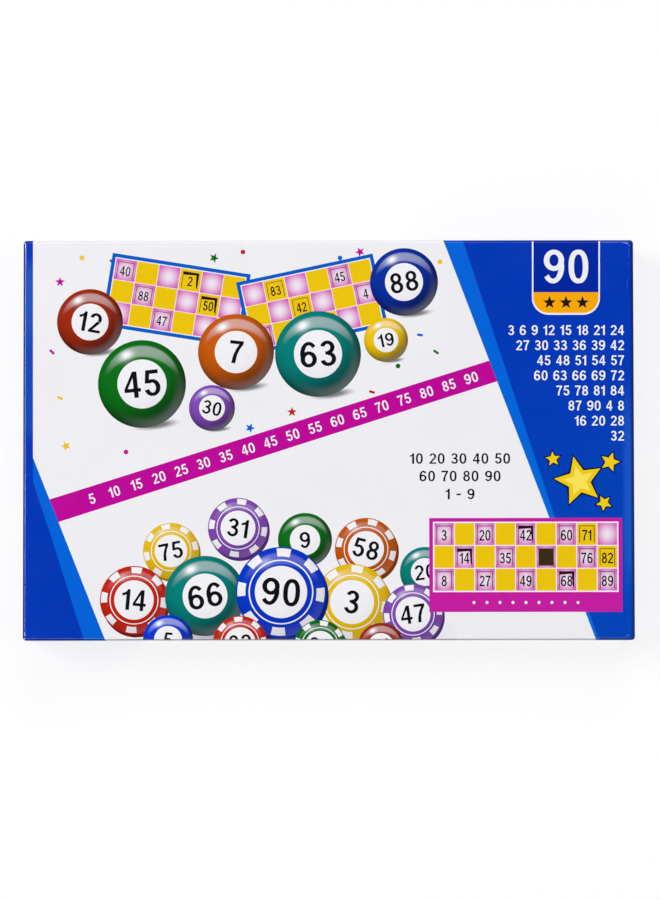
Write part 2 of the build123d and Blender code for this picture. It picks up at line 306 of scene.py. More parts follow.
# ---------------------------------------------------------------- partition
def inside(loops, pts):
    hit = np.zeros(len(pts), bool)
    for q in loops:
        near = np.flatnonzero((pts > q.min(0)).all(1) & (pts < q.max(0)).all(1))
        if not len(near):
            continue
        a, b = q, np.roll(q, -1, 0)
        x, y = pts[near, 0][:, None], pts[near, 1][:, None]
        up = (a[:, 1] > y) != (b[:, 1] > y)
        with np.errstate(divide="ignore", invalid="ignore"):
            xc = a[:, 0] + (y - a[:, 1]) * (b[:, 0] - a[:, 0]) / (b[:, 1] - a[:, 1])
        hit[near] ^= (np.count_nonzero(up & (x < xc), axis=1) % 2).astype(bool)
    return hit


def partition(domain, shapes, lines=()):
    """Splits the domain (loops, even-odd) along every shape's outline and the extra lines. Gives vertices, triangles and the index of the shape that is on top in each, or -1."""
    lo = np.min([q.min(0) for q in domain], 0)
    hi = np.max([q.max(0) for q in domain], 0)
    pts, edges = [], []

    def add(q, closed=True):
        n0, n = len(pts), len(q)
        pts.extend(Vector((float(x), float(y))) for x, y in q)
        edges.extend((n0 + k, n0 + (k + 1) % n) for k in range(n if closed else n - 1))

    for q in domain:
        add(q)
    for q in lines:
        add(np.asarray(q, float), closed=False)
    for s in shapes:
        for q in s["loops"]:
            if (q.min(0) < hi).all() and (q.max(0) > lo).all():
                add(q)
    v, _, f, *_ = delaunay_2d_cdt(pts, edges, [], 0, 1e-5, False)
    v = np.array([(p[0], p[1]) for p in v])
    f = np.array([t for t in f if len(t) == 3])
    mid = v[f].mean(1)
    keep = inside(domain, mid)
    f, mid = f[keep], mid[keep]
    area = np.abs(np.cross(v[f[:, 1]] - v[f[:, 0]], v[f[:, 2]] - v[f[:, 0]])) / 2
    f, mid = f[area > 1e-9], mid[area > 1e-9]
    top = np.full(len(f), -1)
    for i, s in enumerate(shapes):
        lo_s = np.min([q.min(0) for q in s["loops"]], 0)
        hi_s = np.max([q.max(0) for q in s["loops"]], 0)
        near = np.flatnonzero((mid > lo_s).all(1) & (mid < hi_s).all(1))
        if len(near):
            top[near[inside(s["loops"], mid[near])]] = i
    a, b, c = v[f[:, 0]], v[f[:, 1]], v[f[:, 2]]
    flip = np.cross(b - a, c - a) < 0
    f[flip] = f[flip][:, ::-1]
    return v, f, top


class Builder:
    """Collects vertices (mm), faces, a material slot, an ink and local print coordinates for each face corner."""

    def __init__(self):
        self.v, self.n, self.f, self.m, self.ink, self.loc, self.uv = [], [], [], [], [], [], []
        self.count = 0

    def verts(self, co, normals=None):
        start = self.count
        self.v.append(np.asarray(co, float))
        self.n.append(np.zeros((len(co), 3)) if normals is None else np.asarray(normals, float))
        self.count += len(co)
        return start

    def face(self, idx, mat=0, ink=(1, 1, 1), loc=None, uv=None):
        self.f.append(list(int(i) for i in idx))
        self.m.append(mat)
        self.ink.append(ink)
        self.loc.append(loc if loc is not None else [(0.0, 0.0, 0.0)] * len(idx))
        self.uv.append(uv if uv is not None else [(0.0, 0.0)] * len(idx))

    def make(self, name, mats, custom=False, weld=0.0, smooth=True, smooth_angle=None):
        v = np.vstack(self.v) * MM
        me = bpy.data.meshes.new(name)
        me.from_pydata([tuple(p) for p in v], [], self.f)
        for m in mats:
            me.materials.append(m)
        me.polygons.foreach_set("material_index", np.array(self.m, np.int32))
        ink = me.attributes.new("ink", "FLOAT_COLOR", "CORNER")
        loc = me.attributes.new("loc", "FLOAT_VECTOR", "CORNER")
        counts = [len(q) for q in self.f]
        cols = np.repeat(np.array([tuple(c[:3]) + (1.0,) for c in self.ink], np.float32), counts, axis=0)
        ink.data.foreach_set("color", cols.ravel())
        loc.data.foreach_set("vector", np.array([q for qs in self.loc for q in qs], np.float32).ravel())
        if any(any(q != (0.0, 0.0) for q in qs) for qs in self.uv[:50]):
            layer = me.uv_layers.new(name="OFBake")
            layer.data.foreach_set("uv", np.array([q for qs in self.uv for q in qs], np.float32).ravel())
        nv = me.attributes.new("nrm", "FLOAT_VECTOR", "POINT")
        nv.data.foreach_set("vector", np.vstack(self.n).astype(np.float32).ravel())
        if weld:
            bm = bmesh.new()
            bm.from_mesh(me)
            bmesh.ops.remove_doubles(bm, verts=bm.verts, dist=weld * MM)
            bmesh.ops.dissolve_degenerate(bm, edges=bm.edges, dist=1e-8)
            loose = [q for q in bm.verts if not q.link_faces]
            bmesh.ops.delete(bm, geom=loose, context="VERTS")
            bm.to_mesh(me)
            bm.free()
        me.validate()
        me.polygons.foreach_set("use_smooth", np.full(len(me.polygons), smooth))
        if custom:
            n = np.zeros(len(me.vertices) * 3, np.float32)
            me.attributes["nrm"].data.foreach_get("vector", n)
            me.normals_split_custom_set_from_vertices(n.reshape(-1, 3))
        elif smooth_angle:
            me.set_sharp_from_angle(angle=math.radians(smooth_angle))
        me.attributes.remove(me.attributes["nrm"])
        ob = bpy.data.objects.new(name, me)
        bpy.context.scene.collection.objects.link(ob)
        return ob


def local(s, p):
    """Print coordinates of points p (n, 2) in shape s: -1 to 1 across it."""
    c, sn = math.cos(s["ang"]), math.sin(s["ang"])
    q = p - np.array(s["c"])
    return np.c_[(q[:, 0] * c + q[:, 1] * sn) / s["rx"], (-q[:, 0] * sn + q[:, 1] * c) / s["ry"], np.full(len(p), s["tag"])]


# ---------------------------------------------------------------- materials
class Graph:
    def __init__(self, name):
        self.mat = bpy.data.materials.new(name)
        self.mat.use_nodes = True
        self.nt = self.mat.node_tree
        self.nt.nodes.clear()
        self.out = self.nt.nodes.new("ShaderNodeOutputMaterial")
        self.p = self.nt.nodes.new("ShaderNodeBsdfPrincipled")
        self.nt.links.new(self.p.outputs[0], self.out.inputs[0])

    def node(self, kind, **props):
        n = self.nt.nodes.new(kind)
        for k, v in props.items():
            setattr(n, k, v)
        return n

    def put(self, socket, value):
        if isinstance(value, bpy.types.NodeSocket):
            self.nt.links.new(value, socket)
        elif value is not None:
            socket.default_value = value

    def math(self, op, a, b=None, c=None, clamp=False):
        n = self.node("ShaderNodeMath", operation=op, use_clamp=clamp)
        for s, v in zip(n.inputs, (a, b, c)):
            self.put(s, v)
        return n.outputs[0]

    def vmath(self, op, a, b=None, scale=None):
        n = self.node("ShaderNodeVectorMath", operation=op)
        self.put(n.inputs[0], a)
        if b is not None:
            self.put(n.inputs[1], b)
        if scale is not None:
            self.put(n.inputs["Scale"], scale)
        return n.outputs["Value"] if op in ("LENGTH", "DOT_PRODUCT", "DISTANCE") else n.outputs["Vector"]

    def mix(self, f, a, b, blend="MIX"):
        n = self.node("ShaderNodeMix", data_type="RGBA", blend_type=blend)
        for s, v in ((n.inputs[0], f), (n.inputs[6], a), (n.inputs[7], b)):
            if isinstance(v, tuple) and len(v) == 3:
                v = (*v, 1.0)
            self.put(s, v)
        return n.outputs[2]

    def ramp(self, value, a0, a1, b0=0.0, b1=1.0, kind="SMOOTHSTEP"):
        n = self.node("ShaderNodeMapRange", interpolation_type=kind)
        n.clamp = True
        self.put(n.inputs["Value"], value)
        for k, v in (("From Min", a0), ("From Max", a1), ("To Min", b0), ("To Max", b1)):
            self.put(n.inputs[k], v)
        return n.outputs["Result"]

    def coords(self):
        return self.node("ShaderNodeTexCoord").outputs["Object"]

    def noise(self, vec, scale, detail=3.0, rough=0.55, distortion=0.0):
        n = self.node("ShaderNodeTexNoise")
        self.put(n.inputs["Vector"], vec)
        for k, v in (("Scale", scale), ("Detail", detail), ("Roughness", rough), ("Distortion", distortion)):
            n.inputs[k].default_value = v
        return n.outputs["Fac"]

    def bump(self, height, distance, strength=1.0, normal=None):
        n = self.node("ShaderNodeBump")
        n.inputs["Strength"].default_value = strength
        n.inputs["Distance"].default_value = distance
        self.put(n.inputs["Height"], height)
        if normal is not None:
            self.put(n.inputs["Normal"], normal)
        return n.outputs["Normal"]

    def split(self, vec):
        n = self.node("ShaderNodeSeparateXYZ")
        self.put(n.inputs[0], vec)
        return n.outputs

    def join(self, x, y, z):
        n = self.node("ShaderNodeCombineXYZ")
        for s, v in zip(n.inputs, (x, y, z)):
            self.put(s, v)
        return n.outputs[0]

    def set(self, **kw):
        for k, v in kw.items():
            s = self.p.inputs[k.replace("_", " ")]
            if isinstance(v, tuple) and len(v) == 3:
                v = (*v, 1.0)
            self.put(s, v)
        return self.mat


def printed(name, kind, film=True, wear=None, rim=False):
    """Ink on paper under a clear film. kind says how the ink varies across its shape. rim is the outer, dulled part of
    the turned edge, darkened by painted shade.
    """
    g = Graph(name)
    ink = g.node("ShaderNodeAttribute", attribute_name="ink").outputs["Color"]
    obj = g.coords()
    colour = ink
    if kind != FLAT:
        loc = g.node("ShaderNodeAttribute", attribute_name="loc").outputs["Vector"]
        x, y, tag = g.split(loc)
        flat = g.join(x, y, 0.0)
        r = g.vmath("LENGTH", flat)
        if kind == BALL:
            z = g.math("SQRT", g.math("MAXIMUM", g.math("SUBTRACT", 1.0, g.math("MULTIPLY", r, r)), 0.0))
            lit = g.vmath("DOT_PRODUCT", g.join(x, y, z), (-0.34, 0.50, 0.80))
            shade = g.ramp(lit, -0.25, 0.95, 0.20, 1.16)
            soft = g.math("ADD", g.math("MULTIPLY", g.math("SUBTRACT", 1.0, tag), shade), tag)
            body = g.vmath("SCALE", ink, scale=soft)
            spot = g.math("POWER", g.math("MAXIMUM", g.vmath("DOT_PRODUCT", g.join(x, y, z), (-0.36, 0.66, 0.66)), 0.0), 90.0)
            low = g.vmath("LENGTH", g.join(x, g.math("ADD", y, 0.34), 0.0))
            moon = g.math("MULTIPLY", g.ramp(low, 0.93, 0.99), g.ramp(r, 0.90, 0.84))
            moon = g.math("MULTIPLY", moon, g.ramp(y, 0.15, 0.75, 0.0, 0.30))
            gain = g.math("MULTIPLY", g.math("ADD", moon, g.math("MULTIPLY", spot, 0.75)), g.math("SUBTRACT", 1.0, tag))
            back = g.math("MULTIPLY", g.ramp(g.vmath("LENGTH", g.join(g.math("SUBTRACT", x, 0.30), g.math("ADD", y, 0.42), 0.0)), 0.95, 0.35), g.ramp(r, 0.70, 0.98, 0.0, 0.10))
            gain = g.math("ADD", gain, g.math("MULTIPLY", back, g.math("SUBTRACT", 1.0, tag)))
            colour = g.mix(gain, body, (0.95, 0.96, 1.0))
        elif kind == GLOW:
            colour = g.mix(g.ramp(r, 1.15, 0.05, 0.0, 0.88), ink, (0.90, 0.86, 0.92))
        elif kind == SHADE:
            colour = g.mix(g.ramp(r, 1.0, 0.25, 0.0, 0.80), WHITE, ink)
    grain = g.noise(obj, 2600.0, 2.0)
    wash = g.noise(obj, 24.0, 2.0)
    tone = g.math("ADD", g.ramp(grain, 0.3, 0.7, 0.985, 1.012, "LINEAR"), g.ramp(wash, 0.3, 0.7, -0.012, 0.010, "LINEAR"))
    colour = g.vmath("SCALE", colour, scale=tone)
    rough_noise = g.noise(obj, 95.0, 4.0)
    rough = g.ramp(rough_noise, 0.25, 0.75, 0.12, 0.20, "LINEAR") if film else g.ramp(rough_noise, 0.25, 0.75, 0.34, 0.48, "LINEAR")
    if wear:
        wx, wy, wz = wear
        ax, ay, az = g.split(obj)
        # the blue is lighter low on the right and up the left strip, and a painted highlight band runs along part of
        # the right edge
        red, _green, blue = g.split(ink)[:3]
        blue = g.math("MULTIPLY", g.ramp(g.math("SUBTRACT", blue, red), 0.20, 0.42), g.ramp(az, (wz - 1.4) * MM, (wz - 0.5) * MM))
        low = g.math("MULTIPLY", g.ramp(ax, 0.02, 0.11), g.ramp(ay, 0.070, -0.075))
        turn = g.ramp(g.math("ABSOLUTE", ax), (wx - 1.9) * MM, (wx - 0.7) * MM, 1.0, 0.0)
        # band: painted highlight a few millimetres in from the right edge
        band = g.math("MULTIPLY", g.math("MULTIPLY", turn, g.ramp(ax, (wx - 6.0) * MM, (wx - 3.2) * MM)), g.ramp(g.math("ABSOLUTE", g.math("ADD", ay, 0.022)), 0.052, 0.022))
        strip = g.math("ADD", g.ramp(ay, -0.003, 0.007, 0.0, 0.5), g.ramp(ay, 0.036, 0.056, 0.0, 0.5))
        strip = g.math("MULTIPLY", g.math("MULTIPLY", turn, g.ramp(ax, (4.9 - wx) * MM, (4.5 - wx) * MM)), strip)
        strip = g.math("MULTIPLY", strip, g.ramp(ay, 0.0725, 0.0825, 1.0, 0.08))
        for part, add in ((low, (0.0, 0.020, 0.012)), (band, (0.010, 0.036, 0.075)), (strip, (0.016, 0.058, 0.050))):
            colour = g.vmath("ADD", colour, g.vmath("SCALE", add, scale=g.math("MULTIPLY", part, blue)))
        a = g.math("SUBTRACT", g.math("ABSOLUTE", ax), (wx - 0.75) * MM)
        b = g.math("SUBTRACT", g.math("ABSOLUTE", ay), (wy - 0.75) * MM)
        c = g.math("SUBTRACT", az, (wz - 0.75) * MM)
        near = g.math("MAXIMUM", g.math("MAXIMUM", g.math("MINIMUM", a, c), g.math("MINIMUM", b, c)), g.math("MINIMUM", a, b))
        corner = g.math("MINIMUM", g.math("MINIMUM", a, b), c)
        rub = g.noise(obj, 320.0, 5.0, 0.65)
        limit = g.ramp(corner, -3.0 * MM, 0.1 * MM, 0.64, 0.50, "LINEAR")
        worn = g.math("MULTIPLY", g.ramp(near, 0.10 * MM, 0.42 * MM), g.ramp(g.math("SUBTRACT", rub, limit), 0.0, 0.05))
        worn = g.math("MULTIPLY", worn, 0.62)
        colour = g.mix(worn, colour, (0.78, 0.77, 0.75))
        rough = g.math("ADD", rough, g.math("MULTIPLY", worn, 0.4))
        # painted shade on the right short edge, darkening it from before its fold
        out = g.math("ADD", g.math("MAXIMUM", a, b), (0.75 - EDGE_R) * -MM)
        wall = g.ramp(az, (wz - 0.95 * EDGE_R) * MM, (wz - 0.45 * EDGE_R) * MM)
        shaded_right_edge = g.ramp(ax, (wx - 2.6) * MM, (wx - 1.9) * MM)
        dark = g.math("MULTIPLY", g.math("MULTIPLY", shaded_right_edge, wall), g.ramp(out, -0.50 * EDGE_R * MM, 0.25 * EDGE_R * MM, 0.0, 0.36))
        colour = g.vmath("SCALE", colour, scale=g.math("SUBTRACT", 1.0, dark))
    if rim:
        # handled dull, and painted shade darkens the outer part of the fold, where it turns away from the light
        painted_edge_shade = g.ramp(out, 0.40 * EDGE_R * MM, 0.62 * EDGE_R * MM, 0.0, 0.74)
        painted_edge_shade = g.math("MAXIMUM", painted_edge_shade, g.math("MULTIPLY", shaded_right_edge, g.ramp(out, -0.1 * EDGE_R * MM, EDGE_R * MM, 0.0, 0.82, "LINEAR")))
        # the painted shade is weakest on the far long edge, which gets more light, and on white, and it is gone again
        # where the wall begins
        white = g.split(ink)[1]
        far = g.math("MULTIPLY", g.ramp(ay, (wy - 1.7) * MM, (wy - 1.2) * MM), g.ramp(white, 0.10, 0.60, 0.38, 0.80))
        painted_edge_shade = g.math("MULTIPLY", g.math("MULTIPLY", painted_edge_shade, g.ramp(white, 0.10, 0.60, 1.0, 0.62)), g.math("SUBTRACT", 1.0, far))
        painted_edge_shade = g.math("MULTIPLY", painted_edge_shade, g.math("ADD", g.math("MULTIPLY", wall, 0.88), 0.12))
        colour = g.vmath("SCALE", colour, scale=g.math("SUBTRACT", 1.0, painted_edge_shade))
        rough = g.math("ADD", rough, 0.3)
    fine = g.noise(obj, 900.0, 3.0, 0.6)
    wide = g.noise(obj, 26.0, 2.0, 0.5)
    nrm = g.bump(fine, 0.000012, 0.8)
    nrm = g.bump(wide, 0.00016, 0.7, nrm)
    g.set(Base_Color=colour, Roughness=rough, Normal=nrm)
    g.p.inputs["IOR"].default_value = 1.46
    g.p.inputs["Specular IOR Level"].default_value = 0.12 if rim else 0.5
    g.p.inputs["Coat Weight"].default_value = 0.08 if film and not rim else 0.0
    g.p.inputs["Coat Roughness"].default_value = 0.08
    return g.mat


def board_material(name, base, dark, fibre=1.0):
    """Pressed grey board: flecks, a little tone change and a felted surface."""
    g = Graph(name)
    obj = g.coords()
    flecks = g.noise(obj, 1500.0, 5.0, 0.7)
    stretch = g.node("ShaderNodeMapping")
    g.put(stretch.inputs["Vector"], obj)
    stretch.inputs["Scale"].default_value = (260.0, 900.0, 900.0)
    fibres = g.noise(stretch.outputs[0], 1.0, 4.0, 0.7, 0.6)
    cloudy = g.noise(obj, 40.0, 3.0)
    c = g.mix(g.ramp(flecks, 0.35, 0.72), dark, base)
    c = g.mix(g.ramp(fibres, 0.58, 0.74, 0.0, 0.35 * fibre), c, tuple(min(1.0, q * 1.35) for q in base))
    c = g.vmath("SCALE", c, scale=g.ramp(cloudy, 0.3, 0.7, 0.94, 1.05, "LINEAR"))
    rough = g.ramp(flecks, 0.2, 0.8, 0.80, 0.95, "LINEAR")
    n = g.bump(g.math("ADD", g.math("MULTIPLY", fibres, 0.6), flecks), 0.00006, 0.9)
    return g.set(Base_Color=c, Roughness=rough, Normal=n)


def paper_material(name, base, warm=(1.0, 0.99, 0.96)):
    g = Graph(name)
    obj = g.coords()
    fine = g.noise(obj, 2200.0, 4.0, 0.7)
    cloud = g.noise(obj, 55.0, 3.0)
    c = g.mix(g.ramp(cloud, 0.3, 0.7), base, tuple(a * b for a, b in zip(base, warm)))
    c = g.vmath("SCALE", c, scale=g.ramp(fine, 0.3, 0.7, 0.97, 1.02, "LINEAR"))
    return g.set(Base_Color=c, Roughness=g.ramp(fine, 0.2, 0.8, 0.55, 0.75, "LINEAR"), Normal=g.bump(fine, 0.00003, 0.7))


def tray_material():
    g = Graph("tray_plastic")
    obj = g.coords()
    x, y, z = g.split(obj)
    cloud = g.noise(obj, 14.0, 2.0)
    fine = g.noise(obj, 1400.0, 3.0, 0.6)
    wave = g.noise(obj, 22.0, 1.0)
    # painted shade: the tray's colour darkens towards its floor
    painted_depth_shade = g.ramp(z, 0.002, 0.029, 0.80, 1.04, "LINEAR")
    c = g.mix(g.ramp(cloud, 0.3, 0.7), lin((14, 56, 166)), lin((17, 62, 174)))
    c = g.vmath("SCALE", c, scale=painted_depth_shade)
    c = g.mix(g.ramp(fine, 0.66, 0.80, 0.0, 0.20), c, lin((60, 104, 206)))
    g.p.inputs["Coat Weight"].default_value = 0.25
    g.p.inputs["Coat Roughness"].default_value = 0.12
    n = g.bump(fine, 0.00002, 0.6)
    n = g.bump(wave, 0.0004, 0.35, n)
    return g.set(Base_Color=c, Roughness=g.ramp(g.noise(obj, 160.0, 4.0), 0.25, 0.75, 0.22, 0.34, "LINEAR"), Normal=n)


def moulded(name, film=0.0):
    """Moulded plastic coloured by the ink attribute, with printed figures."""
    g = Graph(name)
    ink = g.node("ShaderNodeAttribute", attribute_name="ink").outputs["Color"]
    obj = g.coords()
    fine = g.noise(obj, 1800.0, 3.0, 0.6)
    cloud = g.noise(obj, 140.0, 3.0)
    c = g.vmath("SCALE", ink, scale=g.ramp(cloud, 0.3, 0.7, 0.95, 1.04, "LINEAR"))
    g.p.inputs["Coat Weight"].default_value = 0.15
    g.p.inputs["Coat Roughness"].default_value = 0.2
    return g.set(Base_Color=c, Roughness=g.ramp(cloud, 0.25, 0.75, 0.24, 0.38, "LINEAR"), Normal=g.bump(fine, 0.00002, 0.6))


WEAR = (W / 2, D / 2, H)
PRINT = [printed("cover_print", FLAT, wear=WEAR), printed("cover_print_ball", BALL, wear=WEAR),
         printed("cover_print_glow", GLOW, wear=WEAR), printed("cover_print_shade", SHADE, wear=WEAR)]
PRINT += [printed(name + "_rim", kind, wear=WEAR, rim=True) for kind, name in enumerate(("cover_print", "cover_print_ball", "cover_print_glow", "cover_print_shade"))]
CARD_PRINT = [printed("card_print", FLAT), printed("card_print_ball", BALL), printed("card_print_glow", GLOW), printed("card_print_shade", SHADE)]
SHEET_PRINT = [printed("sheet_print", FLAT, film=False), printed("sheet_print_ball", BALL, film=False), printed("sheet_print_glow", GLOW, film=False)]
GREYBOARD = board_material("greyboard", lin((150, 145, 136)), lin((112, 107, 99)))
KRAFT = board_material("kraft_stay", lin((178, 136, 92)), lin((146, 106, 66)), 1.4)
BASE_PAPER = paper_material("base_paper", lin((232, 233, 236)))
EDGE_PAPER = paper_material("paper_edge", lin((226, 223, 216)))
TRAY = tray_material()
DISC = moulded("disc_plastic")

# ---------------------------------------------------------------- cover art, in cover units
IN_X = (W - 2 * CORNER_R) / 2           # straight part of a side, half
IN_Y = (D - 2 * CORNER_R) / 2
FOLD_X, FOLD_Y = W / 2 - EDGE_R, D / 2 - EDGE_R   # where the face begins to turn down
ARC = EDGE_R * math.pi / 2
WALL_H = H - EDGE_R


def on_side(side, u, h):
    """Sheet coordinates of a point on a side wall: u to the right and h above the table, as seen from outside."""
    d = ARC + WALL_H - h
    if side == "front":
        return (u, -FOLD_Y - d)
    if side == "back":
        return (-u, FOLD_Y + d)
    if side == "left":
        return (-FOLD_X - d, -u)
    return (FOLD_X + d, u)


SIDE_ANG = {"front": 0.0, "back": math.pi, "left": -math.pi / 2, "right": math.pi / 2}


def cover_art():
    out = []
    far = 400.0

    def slant(u0, v0, slope, v):
        return u0 + slope * (v - v0)

    # white field is what is left; long stripe under the side panels
    q = poly((40, 502.4), (520, 350.9), (520, 374.0), (40, 528.0))
    # confetti, two fanned cards and a loose group of balls and counters
    for k, (cu, cv) in enumerate(((60, 282), (82, 258), (112, 262), (214, 258), (243, 252), (52, 352), (66, 446), (340, 258), (436, 352), (292, 412), (126, 452), (60, 398), (250, 428), (398, 366), (372, 392), (360, 252), (440, 262), (420, 335))):
        x, y = P(cu, cv)
        ink = (MAGENTA, YELLOW, SKY, LEAF, RED)[k % 5]
        if k % 3 == 0:
            out.append(shape(star(x, y, 2.3, ang=k * 0.7), ink))
        elif k % 3 == 1:
            out.append(shape(circle(x, y, 1.05, 20), ink))
        else:
            out.append(shape(rrect(x, y, 2.6, 1.1, 0.3, ang=k * 1.1), ink))
    for cx, cy, deg, seed in ((176, 300, -9, 3), (312, 304, 12, 5)):
        nums = {(r, c): ((r * 31 + c * 17 + seed * 13) % 89) + 1 for r in range(3) for c in range(6) if (r * 2 + c + seed) % 3 == 0}
        out += card_shapes(*P(cx, cy), 140 * K, 74 * K, math.radians(deg), 6, 3, nums,
                           lambda r, c: (YELLOW if (r + c) % 2 else PINK), lin((4, 92, 196)), 0.30, cut=0.28, side=1.9, pushed={(0, 3), (1, 4)}, size=0.58)
    upper = [(90, 322, 33, RUST, "12", "ball"), (404, 282, 34, NAVY, "88", "ball"), (142, 384, 44, LEAF, "45", "ball"),
             (236, 352, 38, AMBER, "7", "ball"), (318, 354, 43, TEAL, "63", "ball"), (212, 408, 23, VIOLET, "30", "ball"),
             (386, 340, 22, GOLD, "19", "ball")]
    for cu, cv, r, ink, text, style in upper:
        x, y = P(cu + r * 0.34, cv + r * 0.93)
        out.append(shape(ellipse(x, y, r * K * 0.62, r * K * 0.13, math.radians(8)), lin((60, 60, 66)), SHADE, (x, y), r * K * 0.62, r * K * 0.13, math.radians(8)))
    for i, (cu, cv, r, ink, text, style) in enumerate(upper):
        out += token(*P(cu, cv), r * K, ink, text, style, ang=math.radians((-10, 9, 6, -6, 4, -12, 12)[i]))
    # stripe and the numbers on it
    out.append(shape(q, MAGENTA))
    ang = math.atan2(152.7, 480)
    for k in range(18):
        u = 92 + k * 22.3
        v = 515.2 - (u - 40) * 152.75 / 480
        out += shapes_of_number(str(5 * (k + 1)), *P(u, v), 10.2 * K, WHITE, ang=ang, squeeze=1.0)
    # a heap of counters, with balls on it
    x, y = P(288, 630)
    out.append(shape(ellipse(x, y, 182 * K, 26 * K), lin((120, 120, 128)), SHADE, (x, y), 182 * K, 26 * K))
    pile = [(171, 551, 28, GOLD, "75", "chip"), (238, 528, 30, VIOLET, "31", "chip"), (305, 540, 27, LEAF, "9", "ball"),
            (366, 549, 31, AMBER, "58", "chip"), (425, 572, 25, TEAL, "20", "ball"),
            (134, 600, 34, RED, "14", "chip"), (205, 596, 40, TEAL, "66", "ball"), (352, 602, 38, GOLD, "3", "chip"),
            (281, 592, 45, BLUE, "90", "chip"), (413, 614, 30, VIOLET, "47", "chip"),
            (168, 640, 25, BLUE, "5", "ball"), (240, 643, 27, RED, "82", "chip"), (320, 646, 26, LEAF, "39", "chip"), (381, 646, 23, RUST, "71", "ball")]
    for i, (cu, cv, r, ink, text, style) in enumerate(pile):
        out += token(*P(cu, cv), r * K, ink, text, style, ang=math.radians((12, -8, 5, -14, 7, -5, 10, -9, -4, 8, -6, 4, -10, 9)[i]))
    # side walls: plain ground from the middle of the turned edge down
    half = ARC * 0.5
    for side, (hw, fold) in {"front": (IN_X, FOLD_Y), "back": (IN_X, FOLD_Y)}.items():
        s = -1 if side == "front" else 1
        out.append(shape(np.array([(-far, s * (fold + half)), (far, s * (fold + half)), (far, s * far), (-far, s * far)])[:: -s], WHITE))
    out += side_band("front") + side_band("back")
    # left panel
    top_v, low_v = -300.0, 1200.0
    left_u = slant(33, 457.6, 0.3955, low_v)
    out.append(shape(poly((-900, top_v), (33, top_v), (33, 457.6), (left_u, low_v), (-900, low_v)), SKY))
    out.append(shape(poly((-900, top_v), (33, top_v), (33, 481.5), (52.3, 540), (slant(52.3, 540, 0.315, low_v), low_v), (-900, low_v)), ROYAL))
    # right panel
    u_top, u_low = slant(443.5, 241, 0.3825, top_v), slant(443.5, 241, 0.3825, low_v)
    out.append(shape(poly((u_top, top_v), (1600, top_v), (1600, low_v), (u_low, low_v)), SKY))
    d_top, d_low = slant(463.0, 241, 0.3324, top_v), slant(598.0, 635, 0.368, low_v)
    out.append(shape(poly((max(d_top, u_top + 4), top_v), (1600, top_v), (1600, low_v), (max(d_low, u_low), low_v), (602.1, 648), (590.4, 616), (553.1, 512), (463.0, 241)), ROYAL))
    # badge hanging from the top edge
    bx0, bx1, by0 = 531.9, 599.9, 241.1

    def badge(gap, foot, r):
        t = np.linspace(0, math.pi / 2, 10)
        left = [P(bx0 + gap + r - r * math.cos(a), foot - r + r * math.sin(a)) for a in t]
        right = [P(bx1 - gap - r + r * math.sin(a), foot - r + r * math.cos(a)) for a in t]
        return np.array([P(bx0 + gap, by0)] + left + right + [P(bx1 - gap, by0)])

    out.append(shape(badge(0.0, 314.8, 16.8), WHITE))
    out.append(shape(badge(1.5, 312.9, 15.2), ORANGE))
    out.append(shape(poly((bx0 + 1.5, by0), (bx1 - 1.5, by0), (bx1 - 1.5, 292.2), (bx0 + 1.5, 292.2)), DEEP))
    out += shapes_of_number("90", *P(566, 266.5), 34 * K, WHITE, squeeze=1.0)
    for k in (-1, 0, 1):
        out.append(shape(star(*P(566 + 16.5 * k, 302.6), 6.8 * K), lin((30, 24, 20))))
    # rows of numbers down the right panel
    rows = ["3 6 9 12 15 18 21 24", "27 30 33 36 39 42", "45 48 51 54 57", "60 63 66 69 72", "75 78 81 84", "87 90 4 8", "16 20 28", "32"]
    for k, text in enumerate(rows):
        out += shapes_of_number(text, *P(624, 330 + 15.1 * k), 9.9 * K, WHITE, anchor="right", squeeze=1.04)
    # stars under them
    for cu, cv, r, a in ((579, 481, 25, 0.22), (610, 462, 10, -0.3), (604, 503, 8, 0.5), (553, 459, 7.5, 0.1)):
        out.append(shape(star(*P(cu, cv), (r + 2.6) * K, 0.50, a), lin((10, 22, 66))))
        out.append(shape(star(*P(cu, cv), r * K, 0.46, a), lin((240, 205, 20))))
        if r > 20:
            out.append(shape(star(*P(cu, cv), r * 0.62 * K, 0.46, a), lin((252, 228, 92))))
    # black numbers in the white field
    for text, v in (("10 20 30 40 50", 458.5), ("60 70 80 90", 476), ("1 - 9", 494)):
        out += shapes_of_number(text, *P(460, v), 10.6 * K, BLACK, squeeze=1.12)
    # number card low on the right
    nums = {(0, 0): 3, (0, 2): 20, (0, 4): 42, (0, 6): 60, (0, 7): 71, (1, 1): 14, (1, 3): 35, (1, 5): 51, (1, 7): 76, (1, 8): 82,
            (2, 0): 8, (2, 2): 27, (2, 4): 49, (2, 6): 68, (2, 8): 89}
    x, y = P(525.8, 564.9)
    out += card_shapes(x, y, 192.8 * K, 93.9 * K, 0.0, 9, 3, nums, lambda r, c: YELLOW if (c % 2 == 0) == (r == 1) else PINK,
                       lin((196, 30, 160)), 0.42, cut=0.32, side=4.7 * K, foot=20.8 * K, pushed={(0, 4), (1, 1), (2, 6)}, holed={(1, 5)}, size=0.62)
    for k in range(9):
        out.append(shape(circle(*P(474 + 13 * k, 602.5), 1.5 * K, 16), WHITE))
